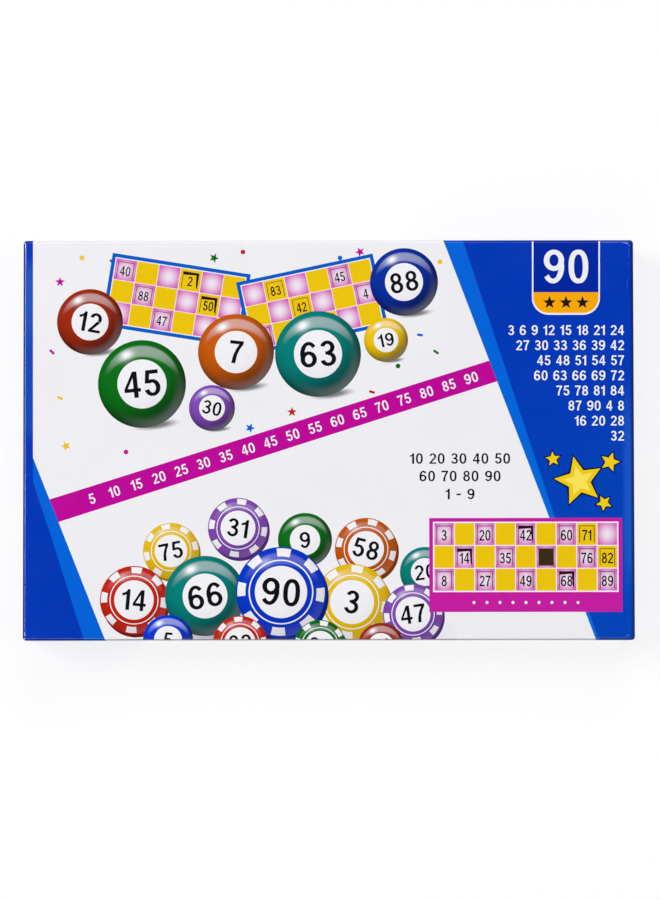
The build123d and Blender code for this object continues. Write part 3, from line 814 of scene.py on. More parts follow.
    # rubbed flecks where the corners and the left edge were knocked; the pale creases at the top right corner, the pale
    # line down the top left edge and the streaks along the top and right edges are painted highlights
    pale, dull, worn = lin((134, 164, 232)), lin((52, 98, 206)), lin((206, 212, 226))
    for ink, line, width in ((pale, (621.5, 242.6, 626.8, 243.4, 630.6, 246.4), 0.7), (pale, (624.8, 241.6, 628.6, 244.6), 0.5), (dull, (628.6, 246.0, 628.9, 252.0, 628.4, 258.5), 0.8),
                             (dull, (627.2, 277.0, 627.4, 284.0, 627.0, 290.5), 0.5), (dull, (629.0, 262.5, 629.1, 268.0), 0.4), (dull, (626.8, 400.0, 627.2, 406.5), 0.5),
                             (worn, (24.5, 631.5, 24.9, 634.5, 25.3, 636.2), 0.7), (dull, (24.9, 628.0, 25.2, 634.5), 0.5), (pale, (627.0, 635.6, 628.6, 634.3), 0.8), (dull, (629.4, 629.0, 629.8, 632.5), 0.4),
                             (dull, (25.4, 474.2, 28.6, 475.0, 31.4, 474.6), 0.5), (pale, (25.0, 476.4, 26.6, 476.9), 0.5), (dull, (24.8, 518.0, 25.3, 523.0), 0.5),
                             (worn, (25.5, 244.2, 25.6, 246.5, 26.0, 251.0), 0.8), (pale, (26.0, 251.0, 26.3, 268.0), 0.5), (dull, (27.4, 261.0, 28.2, 264.5), 0.4), (dull, (470.0, 243.2, 478.0, 243.5), 0.4), (dull, (604.0, 242.8, 613.5, 243.0), 0.5)):
        pts = np.array([P(*q) for q in zip(line[::2], line[1::2])])
        run = pts[-1] - pts[0]
        side = np.array([-run[1], run[0]]) / np.hypot(*run) * width * K / 2
        full = np.array([0.15] + [1.0] * (len(pts) - 2) + [0.15])[:, None] if len(pts) > 2 else np.array([[0.9], [0.2]])
        out.append(shape(np.vstack([pts + side * full, (pts - side * full)[::-1]]), ink))
    # short sides
    out += side_band("left") + side_band("right") + back_panel()
    return out


def side_band(side):
    """Plain numbered tokens on a side wall, and a magenta band with numbers on the long ones."""
    out = []
    ang = SIDE_ANG[side]
    inks = (AMBER, LEAF, RUST, TEAL, NAVY, VIOLET, GOLD, RED)
    if side in ("front", "back"):
        band = [on_side(side, u, h) for u, h in ((-124, 4.8), (124, 4.8), (124, 9.6), (-124, 9.6))]
        out.append(shape(np.array(band), MAGENTA))
        start, mid, count = {"front": (11, 19, 8), "back": (41, 47, 6)}[side]
        for k in range(2 * count):
            u = mid + (k - count + 0.5) * 12.4
            out += shapes_of_number(str(start + 2 * k), *on_side(side, u, 7.2), 2.8, WHITE, ang=ang)
        for k in range(count):
            u = mid + (k - (count - 1) / 2) * 24.6
            x, y = on_side(side, u, 22.8 + (1.1 if k % 2 else -1.1))
            out += token(x, y, 9.8, inks[k if side == "front" else -k - 1], str((k * 13 + start) % 90 + 1), "ball" if k % 2 else "chip", ang=ang + (-0.1, 0.12)[k % 2])
    elif side in ("left", "right"):
        for k in range(4):
            u = (k - 1.5) * 27.0
            x, y = on_side(side, u, 21.5)
            out += token(x, y, 9.8, inks[k + 3 if side == "left" else -k - 1], str((k * 21 + (6 if side == "left" else 17)) % 90 + 1), "chip" if k % 2 else "ball", ang=ang)
        for k in range(3):
            out.append(shape(star(*on_side(side, (k - 1) * 27.0, 21.5), 2.6, ang=ang), WHITE))
        for k in range(12):
            out += shapes_of_number(str(7 * (k + 1)), *on_side(side, (k - 5.5) * 10.6, 6.6), 2.8, WHITE, ang=ang)
    return out


def back_panel():
    """Numbers on the blue end of the back wall."""
    out, ang = [], SIDE_ANG["back"]
    for k, text in enumerate(("3 13 23 33", "43 53 63", "73 83")):
        out += shapes_of_number(text, *on_side("back", -122.0, 29.5 - 6.2 * k), 3.8, WHITE, ang=ang, anchor="left")
    for u, h, r in ((-66, 20.5, 7.0), (-55, 29.0, 3.0), (-80, 11.0, 2.6)):
        out.append(shape(star(*on_side("back", u, h), r + 1.1, 0.50, ang + 0.2), lin((10, 22, 66))))
        out.append(shape(star(*on_side("back", u, h), r, 0.46, ang + 0.2), lin((240, 205, 20))))
    return out


# ---------------------------------------------------------------- lid wrap
def profile():
    """Pieces of the wrap's path from the face's fold: length, point (out, z) and normal (out, z) at t in 0 to 1, and
    steps.
    """
    r, q = 0.3, EDGE_R - 0.29
    return [
        (ARC, lambda t: (-EDGE_R + EDGE_R * math.sin(t * math.pi / 2), H - EDGE_R + EDGE_R * math.cos(t * math.pi / 2)), lambda t: (math.sin(t * math.pi / 2), math.cos(t * math.pi / 2)), 8),
        (WALL_H - RIM_Z - r, lambda t: (0.0, WALL_H + (RIM_Z + r - WALL_H) * t), lambda t: (1.0, 0.0), 1),
        (r * math.pi / 2, lambda t: (-r + r * math.cos(t * math.pi / 2), RIM_Z + r - r * math.sin(t * math.pi / 2)), lambda t: (math.cos(t * math.pi / 2), -math.sin(t * math.pi / 2)), 3),
        (1.5, lambda t: (-r - 1.5 * t, RIM_Z), lambda t: (0.0, -1.0), 1),
        (r * math.pi / 2, lambda t: (-1.8 - r * math.sin(t * math.pi / 2), RIM_Z + r - r * math.cos(t * math.pi / 2)), lambda t: (-math.sin(t * math.pi / 2), -math.cos(t * math.pi / 2)), 3),
        (15.0 - r, lambda t: (-2.1, RIM_Z + r + (15.0 - r) * t), lambda t: (-1.0, 0.0), 1),
        (0.29, lambda t: (-2.1 + 0.29 * t, RIM_Z + 15.0), lambda t: (0.0, 1.0), 1),
        (15.0 - r, lambda t: (-1.81, RIM_Z + 15.0 - (15.0 - r) * t), lambda t: (1.0, 0.0), 1),
        (1.52, lambda t: (-1.81 + 1.52 * t, RIM_Z + r), lambda t: (0.0, 1.0), 1),
        (WALL_H - RIM_Z - r, lambda t: (-0.29, RIM_Z + r + (WALL_H - RIM_Z - r) * t), lambda t: (-1.0, 0.0), 1),
        (q * math.pi / 2, lambda t: (-EDGE_R + q * math.cos(t * math.pi / 2), WALL_H + q * math.sin(t * math.pi / 2)), lambda t: (-math.cos(t * math.pi / 2), -math.sin(t * math.pi / 2)), 3),
    ]


def corner_radius(o):
    return max(CORNER_R + o, CORNER_R - EDGE_R)


def build_lid_wrap():
    prof = profile()
    starts = np.cumsum([0.0] + [q[0] for q in prof])
    total = starts[-1]
    breaks = []
    for (length, *_rest, steps), s0 in zip(prof, starts):
        breaks += [s0 + length * k / steps for k in range(steps)]
    breaks.append(total)

    def fold(s):
        i = min(int(np.searchsorted(starts, s + 1e-9, side="right")) - 1, len(prof) - 1)
        length, point, normal, _ = prof[i]
        t = min(max((s - starts[i]) / length, 0.0), 1.0)
        o, z = point(t)
        no, nz = normal(t)
        rho = 0.4
        if i < 3 or i > 8:
            rho = corner_radius(o)
        elif i in (3, 8):
            rho = corner_radius(o) if o > -0.3 else CORNER_R - 0.3 + (0.7 - CORNER_R) * min((-0.3 - o) / 1.5, 1.0)
        return o, z, rho, no, nz

    tip = CORNER_R - EDGE_R
    arc0 = [np.array([(sx * IN_X + tip * math.cos(a), sy * IN_Y + tip * math.sin(a)) for a in np.linspace(a0, a0 + math.pi / 2, 7)])
            for sx, sy, a0 in ((1, 1, 0), (-1, 1, math.pi / 2), (-1, -1, math.pi), (1, -1, 3 * math.pi / 2))]
    out = []
    end = total
    for q, (sx, sy) in zip(arc0, ((1, 1), (-1, 1), (-1, -1), (1, -1))):
        a, b = q[0], q[-1]
        if sx * sy > 0:
            pre, post = [(sx * (FOLD_X + end), a[1])], [(b[0], sy * (FOLD_Y + end))]
        else:
            pre, post = [(a[0], sy * (FOLD_Y + end))], [(sx * (FOLD_X + end), b[1])]
        out += pre + [tuple(p) for p in q] + post
    # order: walk the cross outline counter-clockwise
    domain = [np.array(out)]
    lines = []
    for s in breaks[:-1]:
        for sy in (-1, 1):
            lines.append([(-IN_X, sy * (FOLD_Y + s)), (IN_X, sy * (FOLD_Y + s))])
        for sx in (-1, 1):
            lines.append([(sx * (FOLD_X + s), -IN_Y), (sx * (FOLD_X + s), IN_Y)])
    shapes = cover_art()
    # unprinted paper where the sheet was cut, along the inside edge and at the short sides' seams
    s_cut = starts[6]
    for sx in (-1, 1):
        for sy in (-1, 1):
            y = sy * (IN_Y - 0.35)
            shapes.append(shape(np.array([(sx * (FOLD_X + ARC), y - 0.09), (sx * (FOLD_X + starts[5]), y - 0.09), (sx * (FOLD_X + starts[5]), y + 0.09), (sx * (FOLD_X + ARC), y + 0.09)]), lin((178, 188, 214))))
    big = 500.0
    for s0, s1, ink in ((s_cut, total + 5, PAPER_EDGE),):
        for sy in (-1, 1):
            shapes.append(shape(np.array([(-big, sy * (FOLD_Y + s0)), (big, sy * (FOLD_Y + s0)), (big, sy * (FOLD_Y + s1)), (-big, sy * (FOLD_Y + s1))]), ink))
        for sx in (-1, 1):
            shapes.append(shape(np.array([(sx * (FOLD_X + s0), -big), (sx * (FOLD_X + s0), big), (sx * (FOLD_X + s1), big), (sx * (FOLD_X + s1), -big)]), ink))
    v, f, top = partition(domain, shapes, lines)
    co, nr = np.zeros((len(v), 3)), np.zeros((len(v), 3))
    for i, (x, y) in enumerate(v):
        dx, dy = abs(x) - FOLD_X, abs(y) - FOLD_Y
        if dx > 1e-4 and abs(y) <= IN_Y + 1e-3:
            o, z, rho, no, nz = fold(dx)
            k = (D / 2 + o - rho) / IN_Y
            sx = 1 if x > 0 else -1
            co[i] = (sx * (W / 2 + o), y * k, z)
            nr[i] = (sx * no, 0, nz)
        elif dy > 1e-4 and abs(x) <= IN_X + 1e-3:
            o, z, rho, no, nz = fold(dy)
            k = (W / 2 + o - rho) / IN_X
            sy = 1 if y > 0 else -1
            co[i] = (x * k, sy * (D / 2 + o), z)
            nr[i] = (0, sy * no, nz)
        else:
            co[i] = (x, y, H)
            nr[i] = (0, 0, 1)
    b = Builder()
    b.verts(co, nr)
    span = W / 2 + total + 2.0

    def uv(x, y):
        return (0.5 + x / (2 * span), 0.5 + y / (2 * span))

    mid = np.abs(v[f].mean(1)) - (FOLD_X, FOLD_Y)
    at = v[f].mean(1)
    first = np.where(at[:, 0] > FOLD_X, 0.0, np.where((at[:, 1] > FOLD_Y) & (at[:, 0] < P(594, 241)[0]), ARC * 0.125, ARC * 0.25))
    rim = (mid.max(1) > first) & (mid.max(1) < ARC)
    for t, k, edge in zip(f, top, rim):
        s = shapes[k] if k >= 0 else None
        b.face(t, (s["kind"] if s else FLAT) + 4 * int(edge), s["ink"] if s else WHITE,
               [tuple(q) for q in local(s, v[t])] if s and s["kind"] else None, [uv(*v[i]) for i in t])
    # upright corners, royal blue all the way round
    for sx, sy, a0 in ((1, 1, 0), (-1, 1, math.pi / 2), (-1, -1, math.pi), (1, -1, 3 * math.pi / 2)):
        rows = []
        for s in breaks:
            o, z, rho, no, nz = fold(s)
            cx, cy = sx * (W / 2 + o - rho), sy * (D / 2 + o - rho)
            angs = np.linspace(a0, a0 + math.pi / 2, 7)
            pts = [(cx + rho * math.cos(a), cy + rho * math.sin(a), z) for a in angs]
            nrm = [(no * math.cos(a), no * math.sin(a), nz) for a in angs]
            rows.append(b.verts(pts, nrm))
        for j, (s0, s1) in enumerate(zip(breaks, breaks[1:])):
            for k in range(6):
                # the lower left corner is knocked and shows pale paper; the upper left one has a painted highlight in
                # the same pale colour
                pale_wear_and_highlight = (sx < 0 and sy < 0 and k in (2, 3) and 2 <= j < 7) or (sx < 0 < sy and k in (4, 5) and 1 <= j < 4)
                ink = PAPER_EDGE if s0 >= s_cut - 1e-6 else lin((206, 212, 226)) if pale_wear_and_highlight else ROYAL
                base = (sx * (IN_X + 4 + k * 1.2), sy * (FOLD_Y + s0)), (sx * (IN_X + 4 + (k + 1) * 1.2), sy * (FOLD_Y + s1))
                quad = [rows[j] + k, rows[j + 1] + k, rows[j + 1] + k + 1, rows[j] + k + 1]
                uvq = [uv(base[0][0], base[0][1]), uv(base[0][0], base[1][1]), uv(base[1][0], base[1][1]), uv(base[1][0], base[0][1])]
                b.face(quad, FLAT + (4 if ARC * (0.25 if sx < 0 else 0.0) < (s0 + s1) / 2 < ARC else 0), ink, None, uvq)
    ob = b.make("lid_wrap_print", PRINT, custom=False, weld=0.004)
    return ob


def close_under(ob, z):
    """Fills the open loop at the hidden underside."""
    bm = bmesh.new()
    bm.from_mesh(ob.data)
    open_edges = [e for e in bm.edges if len(e.link_faces) == 1 and all(abs(q.co.z - z * MM) < 2e-5 for q in e.verts)]
    made = bmesh.ops.triangle_fill(bm, edges=open_edges, use_beauty=False, use_dissolve=False)
    ink = bm.loops.layers.float_color["ink"]
    for f in [q for q in made["geom"] if isinstance(q, bmesh.types.BMFace)]:
        if f.normal.z > 0:
            f.normal_flip()
        f.smooth = False
        for l in f.loops:
            l[ink] = (*PAPER_EDGE, 1.0)
    bm.to_mesh(ob.data)
    bm.free()


# ---------------------------------------------------------------- flat printed pieces
def rounded(cx, cy, w, d, r, n=6):
    return rrect(cx, cy, w, d, r, n)


def cut_sheet(b, tops, walls, z0, z1, shapes, bevel=0.0, ink=WHITE, rim_ink=None, side=4, side_ink=PAPER_EDGE, under=(), under_ink=WHITE, lift=None):
    """A sheet with printed top and plain edges. tops are its outlines at the top face (outer one anticlockwise, holes clockwise), walls the same outlines below the bevel."""
    up = lift or (lambda x, y: 0.0 * x)
    for face_loops, prints, z, ground, down in ((tops, shapes, z1, ink, False), (walls, under, z0, under_ink, True)):
        v, f, top = partition(face_loops, prints)
        start = b.verts(np.c_[v, z + up(v[:, 0], v[:, 1])])
        for t, k in zip(f, top):
            q = prints[k] if k >= 0 else None
            t = t[::-1] if down else t
            loc = [tuple(w) for w in local(q, v[t])] if q and q["kind"] else None
            b.face(t + start, q["kind"] if q else FLAT, q["ink"] if q else ground, loc)
    for top, wall in zip(tops, walls):
        n = len(top)
        i0 = b.verts(np.c_[top, z1 + up(top[:, 0], top[:, 1])])
        i1 = b.verts(np.c_[wall, z1 - bevel + up(wall[:, 0], wall[:, 1])]) if bevel else i0
        i2 = b.verts(np.c_[wall, z0 + up(wall[:, 0], wall[:, 1])])
        for k in range(n):
            j = (k + 1) % n
            if bevel:
                b.face([i0 + k, i1 + k, i1 + j, i0 + j], FLAT, rim_ink or ink)
            b.face([i1 + k, i2 + k, i2 + j, i1 + j], side, side_ink)


def piece(b, name, mats, body, node, weld=0.003, smooth_angle=35.0):
    ob = b.make(name, mats, weld=weld, smooth_angle=smooth_angle)
    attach(ob, body)
    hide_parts(node)
    return ob


BOARD_X, PACK_X = 44.1, -84.1
BOARD_W, BOARD_D = 146.0, 154.6
HOLES = [(BOARD_X + (c - 4.5) * 14.2, (4 - r) * 16.8) for r in range(9) for c in range(10)]
WINDOWS = [(0, 0), (0, 2), (0, 4), (0, 6), (0, 7), (1, 1), (1, 3), (1, 5), (1, 7), (1, 8), (2, 0), (2, 2), (2, 4), (2, 6), (2, 8)]


def ticket(seed, cells=WINDOWS):
    """Numbers for a card: column c holds tens of c, rising downwards."""
    rng = np.random.default_rng(seed)
    out = {}
    for c in range(9):
        rows = sorted(r for r, k in cells if k == c)
        lo, hi = (1, 9) if c == 0 else (10 * c, 10 * c + (10 if c == 8 else 9))
        picks = sorted(rng.choice(np.arange(lo, hi + 1), len(rows), replace=False))
        out.update({(r, c): int(n) for r, n in zip(rows, picks)})
    return out


def number_sheet():
    b = Builder()
    loop = [rounded(BOARD_X, 0, BOARD_W, BOARD_D, 3.0)]
    prints = []
    for i, (x, y) in enumerate(HOLES):
        prints.append(shape(rrect(x, y, 13.9, 16.5, 1.0), lin((250, 236, 176)) if (i + i // 10) % 2 else lin((246, 246, 240))))
        prints.append(shape(ring(x, y, 5.5, 5.75, 48), MAGENTA))
        prints += shapes_of_number(str(i + 1), x, y, 5.4, NAVY, squeeze=0.9)
    cut_sheet(b, loop, loop, 3.8, 4.2, prints, ink=lin((238, 238, 232)))
    return piece(b, "calling_board_numbers", SHEET_PRINT + [EDGE_PAPER] * 2, "calling_board", "calling_board_number_sheet")


def number_grid():
    b = Builder()
    tops = [rounded(BOARD_X, 0, BOARD_W - 0.3, BOARD_D - 0.3, 2.85)] + [circle(x, y, 6.64, 56)[::-1] for x, y in HOLES]
    walls = [rounded(BOARD_X, 0, BOARD_W, BOARD_D, 3.0)] + [circle(x, y, 6.5, 56)[::-1] for x, y in HOLES]
    prints = []
    for i, (x, y) in enumerate(HOLES):
        if (i % 10) % 2:
            prints.append(shape(np.array([(x - 7.1, y - 8.4), (x + 7.1, y - 8.4), (x + 7.1, y + 8.4), (x - 7.1, y + 8.4)]), SKY))
        prints.append(shape(ring(x, y, 6.72, 7.0, 56), WHITE))
        prints += shapes_of_number(str(i + 1), x, y - 8.4, 1.7, WHITE)
    cut_sheet(b, tops, walls, 4.2, 6.2, prints, bevel=0.15, ink=ROYAL, rim_ink=lin((120, 140, 190)), side_ink=lin((188, 184, 174)))
    return piece(b, "calling_board_grid_print", CARD_PRINT + [EDGE_PAPER], "calling_board", "calling_board_grid")


DISC_PROFILE = [(5.85, 0.0), (6.2, 0.35), (6.2, 2.6), (6.13, 2.84), (5.92, 2.97), (5.68, 3.0), (5.42, 2.96), (5.24, 2.84), (5.14, 2.66)]


def discs(first):
    b = Builder()
    rng = np.random.default_rng(first)
    n = 56
    for i in range(first - 1, first + 9):
        cx, cy = HOLES[i]
        turn = float(rng.uniform(-0.16, 0.16))
        hue = 1.0 + 0.05 * float(rng.uniform(-1, 1))
        ink = tuple(q * hue for q in lin((244, 204, 22)))
        a = turn + np.arange(n) * 2 * math.pi / n
        rings = []
        for r, z in DISC_PROFILE:
            rings.append(b.verts(np.c_[cx + r * np.cos(a), cy + r * np.sin(a), np.full(n, 4.25 + z)]))
        for lo, hi in zip(rings, rings[1:]):
            for k in range(n):
                j = (k + 1) % n
                b.face([lo + k, lo + j, hi + j, hi + k], 0, ink)
        b.face([rings[0] + k for k in range(n)][::-1], 0, ink)
        loop = np.c_[cx + 5.14 * np.cos(a), cy + 5.14 * np.sin(a)]
        prints = [shape(ring(cx, cy, 4.35, 4.55, 48), lin((24, 24, 30)))]
        prints += shapes_of_number(str(i + 1), cx, cy, 4.5, lin((18, 18, 22)), ang=turn, squeeze=0.9)
        if i + 1 in (6, 9, 66, 68, 86, 89, 60, 90, 80, 8):
            c, q = math.cos(turn), math.sin(turn)
            w = 1.5
            prints.append(shape(np.array([(cx + px * c - py * q, cy + px * q + py * c) for px, py in ((-w, -3.15), (w, -3.15), (w, -2.85), (-w, -2.85))]), lin((18, 18, 22))))
        v, f, top = partition([loop], prints)
        start = b.verts(np.c_[v, np.full(len(v), 4.25 + 2.66)])
        for t, k in zip(f, top):
            b.face(t + start, 0, prints[k]["ink"] if k >= 0 else ink)
    name = f"discs_{first:02d}_to_{first + 9:02d}"
    return piece(b, name + "_moulded", [DISC], name, name, smooth_angle=50.0)


def play_card_print():
    """The card in play and its hinged windows, each on its own body."""
    cx, cy = BOARD_X, 1.0 + 75.6 / 2
    card = Card(cx, cy, 155.0, 75.6, 0.0, side=4.15, top=4.0, foot=75.6 - 4.0 - 3 * 18.5, window=(12.2 / 16.3, 14.0 / 18.5, 2.1 / 18.5))
    nums = ticket(11)
    inks = lambda r, c: YELLOW if (c % 2 == 0) == (r == 1) else PINK
    prints = card.ground(lin((196, 30, 160)), 0.30, over=2.0)
    for r in range(3):
        for k in range(9):
            prints.append(card.cell_shape(r, k, inks(r, k), inks(r, k) is PINK, 0.6))
    prints += card_foot(card, 24)
    b = Builder()
    holes = []
    for r, k in WINDOWS:
        x0, y0, x1, y1 = card.window(r, k)
        holes.append(card.box(x0, y0, x1, y1)[::-1])
    tops = [rounded(cx, cy, 154.84, 75.44, 2.92)] + holes
    walls = [rounded(cx, cy, 155.0, 75.6, 3.0)] + holes
    cut_sheet(b, tops, walls, 27.85, 28.65, prints, bevel=0.08, rim_ink=lin((196, 30, 160)), under_ink=lin((228, 227, 222)))
    piece(b, "play_card_print", CARD_PRINT + [EDGE_PAPER], "play_card", "play_card")
    for r, k in WINDOWS:
        x0, y0, x1, y1 = card.window(r, k)
        x0, y0, x1, y1 = x0 + cx, y0 + cy, x1 + cx, y1 + cy
        x, w = (x0 + x1) / 2, 11.7
        b = Builder()
        loop = [np.array([(x - w / 2, y0 + 0.02), (x + w / 2, y0 + 0.02), (x + w / 2, y1 - 0.25), (x - w / 2, y1 - 0.25)])]
        top = [loop[0] + np.array([(0.06, 0), (-0.06, 0), (-0.06, -0.06), (0.06, -0.06)])]
        prints = [card.cell_shape(r, k, inks(r, k), inks(r, k) is PINK, 0.6)] + card.figure(r, k, nums[(r, k)], 0.52)
        cut_sheet(b, top, loop, 27.85, 28.65, prints, bevel=0.06, ink=inks(r, k), rim_ink=inks(r, k), under_ink=lin((228, 227, 222)))
        a = np.arange(10) * 2 * math.pi / 10
        ends = [b.verts(np.c_[np.full(10, x + s * w / 2), y0 + 0.2 * np.cos(a), 27.85 + 0.2 * np.sin(a)]) for s in (-1, 1)]
        for q in range(10):
            j = (q + 1) % 10
            b.face([ends[0] + q, ends[0] + j, ends[1] + j, ends[1] + q][::-1], 4, PAPER_EDGE)
        b.face([ends[0] + q for q in range(10)][::-1], 4, PAPER_EDGE)
        b.face([ends[1] + q for q in range(10)], 4, PAPER_EDGE)
        name = f"window_flap_r{r + 1}_c{k + 1}"
        piece(b, name + "_print", CARD_PRINT + [EDGE_PAPER], name, name)


def card_foot(card, serial):
    """Plain strip under the cells: a numbered box and a line of dots."""
    out = []
    y = (card.y0 - card.h / 2) / 2
    x, h = -card.w / 2 + 13.0, 8.0
    out.append(shape(rrect(*card.at(x, y), 13.0, h, 1.5, ang=card.ang), WHITE))
    out += shapes_of_number(str(serial), *card.at(x, y), 4.6, lin((150, 16, 120)), ang=card.ang, squeeze=0.9)
    for k in range(21):
        out.append(shape(circle(*card.at(-card.w / 2 + 27.0 + 5.6 * k, y), 0.75 if k % 5 else 1.25, 20), WHITE))
    return out


def pack():
    b = Builder()
    for k in range(23):
        dx, dy = 0.28 * math.sin(2.1 * k + 0.6), 0.35 * math.sin(1.3 * k + 1.9)
        cx, cy, z = PACK_X + dx, dy, 2.75 + 0.82 * k
        shade = 0.93 + 0.05 * math.sin(5.7 * k)
        tops, walls = [rounded(cx, cy, 75.44, 154.84, 2.92)], [rounded(cx, cy, 75.6, 155.0, 3.0)]
        prints = []
        if k == 22:
            card = Card(cx, cy, 155.0, 75.6, math.pi / 2, side=4.15, top=4.0, foot=75.6 - 4.0 - 3 * 18.5, window=(11.7 / 16.3, 13.75 / 18.5, 2.1 / 18.5))
            inks = lambda r, c: YELLOW if (c % 2 == 0) == (r == 1) else PINK
            prints = card.ground(lin((196, 30, 160)), 0.30, over=2.0)
            for r in range(3):
                for c in range(9):
                    prints.append(card.cell_shape(r, c, inks(r, c), inks(r, c) is PINK, 0.6))
            for (r, c), n in ticket(23).items():
                prints += card.figure(r, c, n, 0.52)
                slit = card.arch(r, c, 0.2)[::-1]
                slit = slit if np.sum(np.cross(slit, np.roll(slit, -1, 0))) < 0 else slit[::-1]
                tops.append(slit)
                walls.append(slit)
            prints += card_foot(card, 23)
        cut_sheet(b, tops, walls, z, z + 0.8, prints, bevel=0.08, ink=lin((196, 30, 160)), rim_ink=lin((196, 30, 160)),
                  side_ink=tuple(shade * q for q in PAPER_EDGE), under_ink=lin((228, 227, 222)))
    return piece(b, "card_pack_print", CARD_PRINT + [EDGE_PAPER], "card_pack", "card_pack")


def mirrored(prints, cx):
    out = []
    for q in prints:
        out.append(dict(q, loops=[np.c_[2 * cx - w[:, 0], w[:, 1]][::-1] for w in q["loops"]]))
    return out


def leaflet_page(cx, page):
    """Numbered picture steps on a page 70 by 146."""
    out = [shape(rrect(cx, 64.5, 62, 9, 1.2), (MAGENTA, ROYAL, TEAL)[page])]
    out += shapes_of_number(("1 2 3 4", "5 6 7 8", "1 - 90")[page], cx, 64.5, 5.0, WHITE)
    for k in range(4):
        y = 43.0 - 31.5 * k
        out.append(shape(rrect(cx, y, 62, 27, 1.6), lin((206, 212, 222))))
        out.append(shape(rrect(cx, y, 61.3, 26.3, 1.4), lin((247, 247, 244))))
        out.append(shape(circle(cx - 24.5, y + 7.0, 3.9, 40), (MAGENTA, ROYAL, TEAL)[page]))
        out += shapes_of_number(str(k + 1 + 4 * (page % 2)), cx - 24.5, y + 7.0, 4.4, WHITE)
        x = cx + 4.0
        if (k + page) % 2 == 0:
            nums = {q: v for q, v in ticket(31 + k + 4 * page).items()}
            out += [q for q in card_shapes(x, y, 42.0, 18.5, 0.0, 9, 3, nums, lambda r, c: lin((244, 216, 90)) if (r + c) % 2 else WHITE, lin((196, 30, 160)), 0.12, side=1.0, foot=2.6, size=0.62)]
        else:
            for j in range(4):
                px = x - 16.5 + 11.0 * j
                out.append(shape(circle(px, y, 4.6, 48), lin((196, 158, 10))))
                out.append(shape(circle(px, y, 4.2, 48), lin((246, 208, 30))))
                out += shapes_of_number(str((k * 23 + j * 19 + 7 * page) % 90 + 1), px, y, 3.4, BLACK, squeeze=0.9)
    return out


def leaflet():
    for name, z0, z1, page, body in (("leaflet_back_page", 21.71, 21.91, 1, "leaflet_back"), ("leaflet_front_page", 21.96, 22.16, 0, "leaflet_front")):
        b = Builder()
        loop = [np.array([(PACK_X - 35, -73), (PACK_X + 35, -73), (PACK_X + 35, 73), (PACK_X - 35, 73)])]
        under = mirrored(leaflet_page(PACK_X, 2), PACK_X) if page == 0 else []
        cut_sheet(b, loop, loop, z0, z1, leaflet_page(PACK_X, page), ink=lin((243, 242, 236)), under=under, under_ink=lin((243, 242, 236)))
        piece(b, name + "_print", SHEET_PRINT + [EDGE_PAPER] * 2, body, name)


# ---------------------------------------------------------------- pieces
def repaint(node, mat):
    """A CAD node keeps its shape and gets its finish on its material slots."""
    ob = NODES[node]
    for sl in ob.material_slots:
        sl.link = "OBJECT"
        sl.material = mat


wrap = build_lid_wrap()
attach(wrap, "lid")
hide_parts("lid_wrap")
close_under(wrap, H - 0.29)

for node, mat in (("lid_board", GREYBOARD), ("lid_corner_stays", KRAFT), ("base_board", GREYBOARD), ("base_wrap", BASE_PAPER),
                  ("base_bottom_sheet", BASE_PAPER), ("base_corner_stays", KRAFT), ("formed_tray", TRAY), ("calling_board_back", GREYBOARD)):
    repaint(node, mat)

number_sheet()
number_grid()
for first in range(1, 90, 10):
    discs(first)
play_card_print()
pack()
leaflet()

# ---------------------------------------------------------------- stage, camera and light
floor = bpy.data.meshes.new("floor")
floor.from_pydata([(-4, -4, -0.0002), (4, -4, -0.0002), (4, 4, -0.0002), (-4, 4, -0.0002)], [], [(0, 1, 2, 3)])
floor_ob = bpy.data.objects.new("floor", floor)
bpy.context.scene.collection.objects.link(floor_ob)
g = Graph("studio_floor")
g.p.inputs["Emission Color"].default_value = (1.0, 1.0, 1.0, 1.0)
g.p.inputs["Emission Strength"].default_value = 0.79
floor.materials.append(g.set(Base_Color=(0.21, 0.21, 0.21), Roughness=0.9))
g.p.inputs["Specular IOR Level"].default_value = 0.1


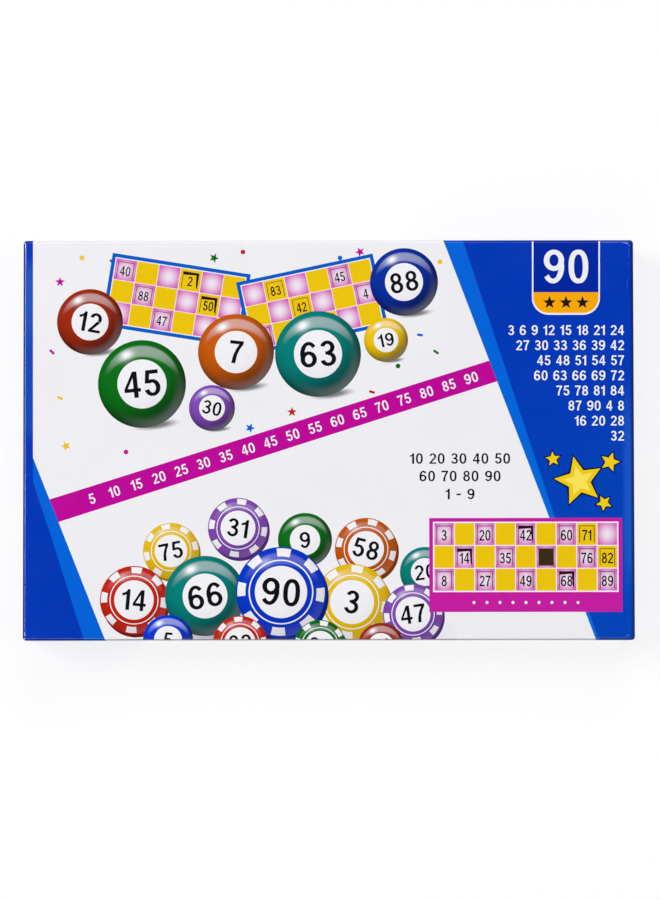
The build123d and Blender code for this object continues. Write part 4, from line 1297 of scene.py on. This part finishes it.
def area(name, place, aim, size, power, size_y=None):
    light = bpy.data.lights.new(name, "AREA")
    light.energy, light.size = power, size
    if size_y:
        light.shape, light.size_y = "RECTANGLE", size_y
    ob = bpy.data.objects.new(name, light)
    ob.location = place
    ob.rotation_mode = "QUATERNION"
    ob.rotation_quaternion = (Vector(aim) - Vector(place)).to_track_quat("-Z", "Y")
    bpy.context.scene.collection.objects.link(ob)
    return ob


area("left_softbox", (-2.60, 0.87, 3.90), (0, 0, 0), 1.95, 126.0)
area("right_softbox", (2.75, -0.43, 3.77), (0, 0, 0), 2.45, 42.0)
area("back_softbox", (0.50, 2.75, 3.77), (0, 0, 0), 2.3, 65.5)
area("front_softbox", (-0.43, -2.75, 3.77), (0, 0, 0), 2.45, 37.0)
world = bpy.data.worlds.new("studio")
world.use_nodes = True
wt = world.node_tree
sky = wt.nodes["Background"]
sky.inputs["Color"].default_value = (1, 1, 1, 1)
way = wt.nodes.new("ShaderNodeTexCoord")
part = wt.nodes.new("ShaderNodeSeparateXYZ")
fall = wt.nodes.new("ShaderNodeMapRange")
fall.interpolation_type = "SMOOTHSTEP"
for key, value in (("From Min", 0.10), ("From Max", 0.40), ("To Min", 0.97), ("To Max", 0.02)):
    fall.inputs[key].default_value = value
wt.links.new(way.outputs["Generated"], part.inputs[0])
wt.links.new(part.outputs["Z"], fall.inputs["Value"])
wt.links.new(fall.outputs["Result"], sky.inputs["Strength"])
bpy.context.scene.world = world
bpy.context.scene.view_settings.view_transform = "Standard"
bpy.context.scene.view_settings.look = "None"

cam = bpy.data.cameras.new("camera")
cam.sensor_width, cam.sensor_fit, cam.lens = 36.0, "AUTO", LENS
cam.clip_start, cam.clip_end = 0.05, 20.0
cam_ob = bpy.data.objects.new("camera", cam)
cam_ob.location = AIM + BACK * DIST
cam_ob.rotation_mode = "QUATERNION"
cam_ob.rotation_quaternion = (-BACK).to_track_quat("-Z", "Y") @ Quaternion((0.0, 0.0, 1.0), ROLL)
bpy.context.scene.collection.objects.link(cam_ob)
bpy.context.scene.camera = cam_ob
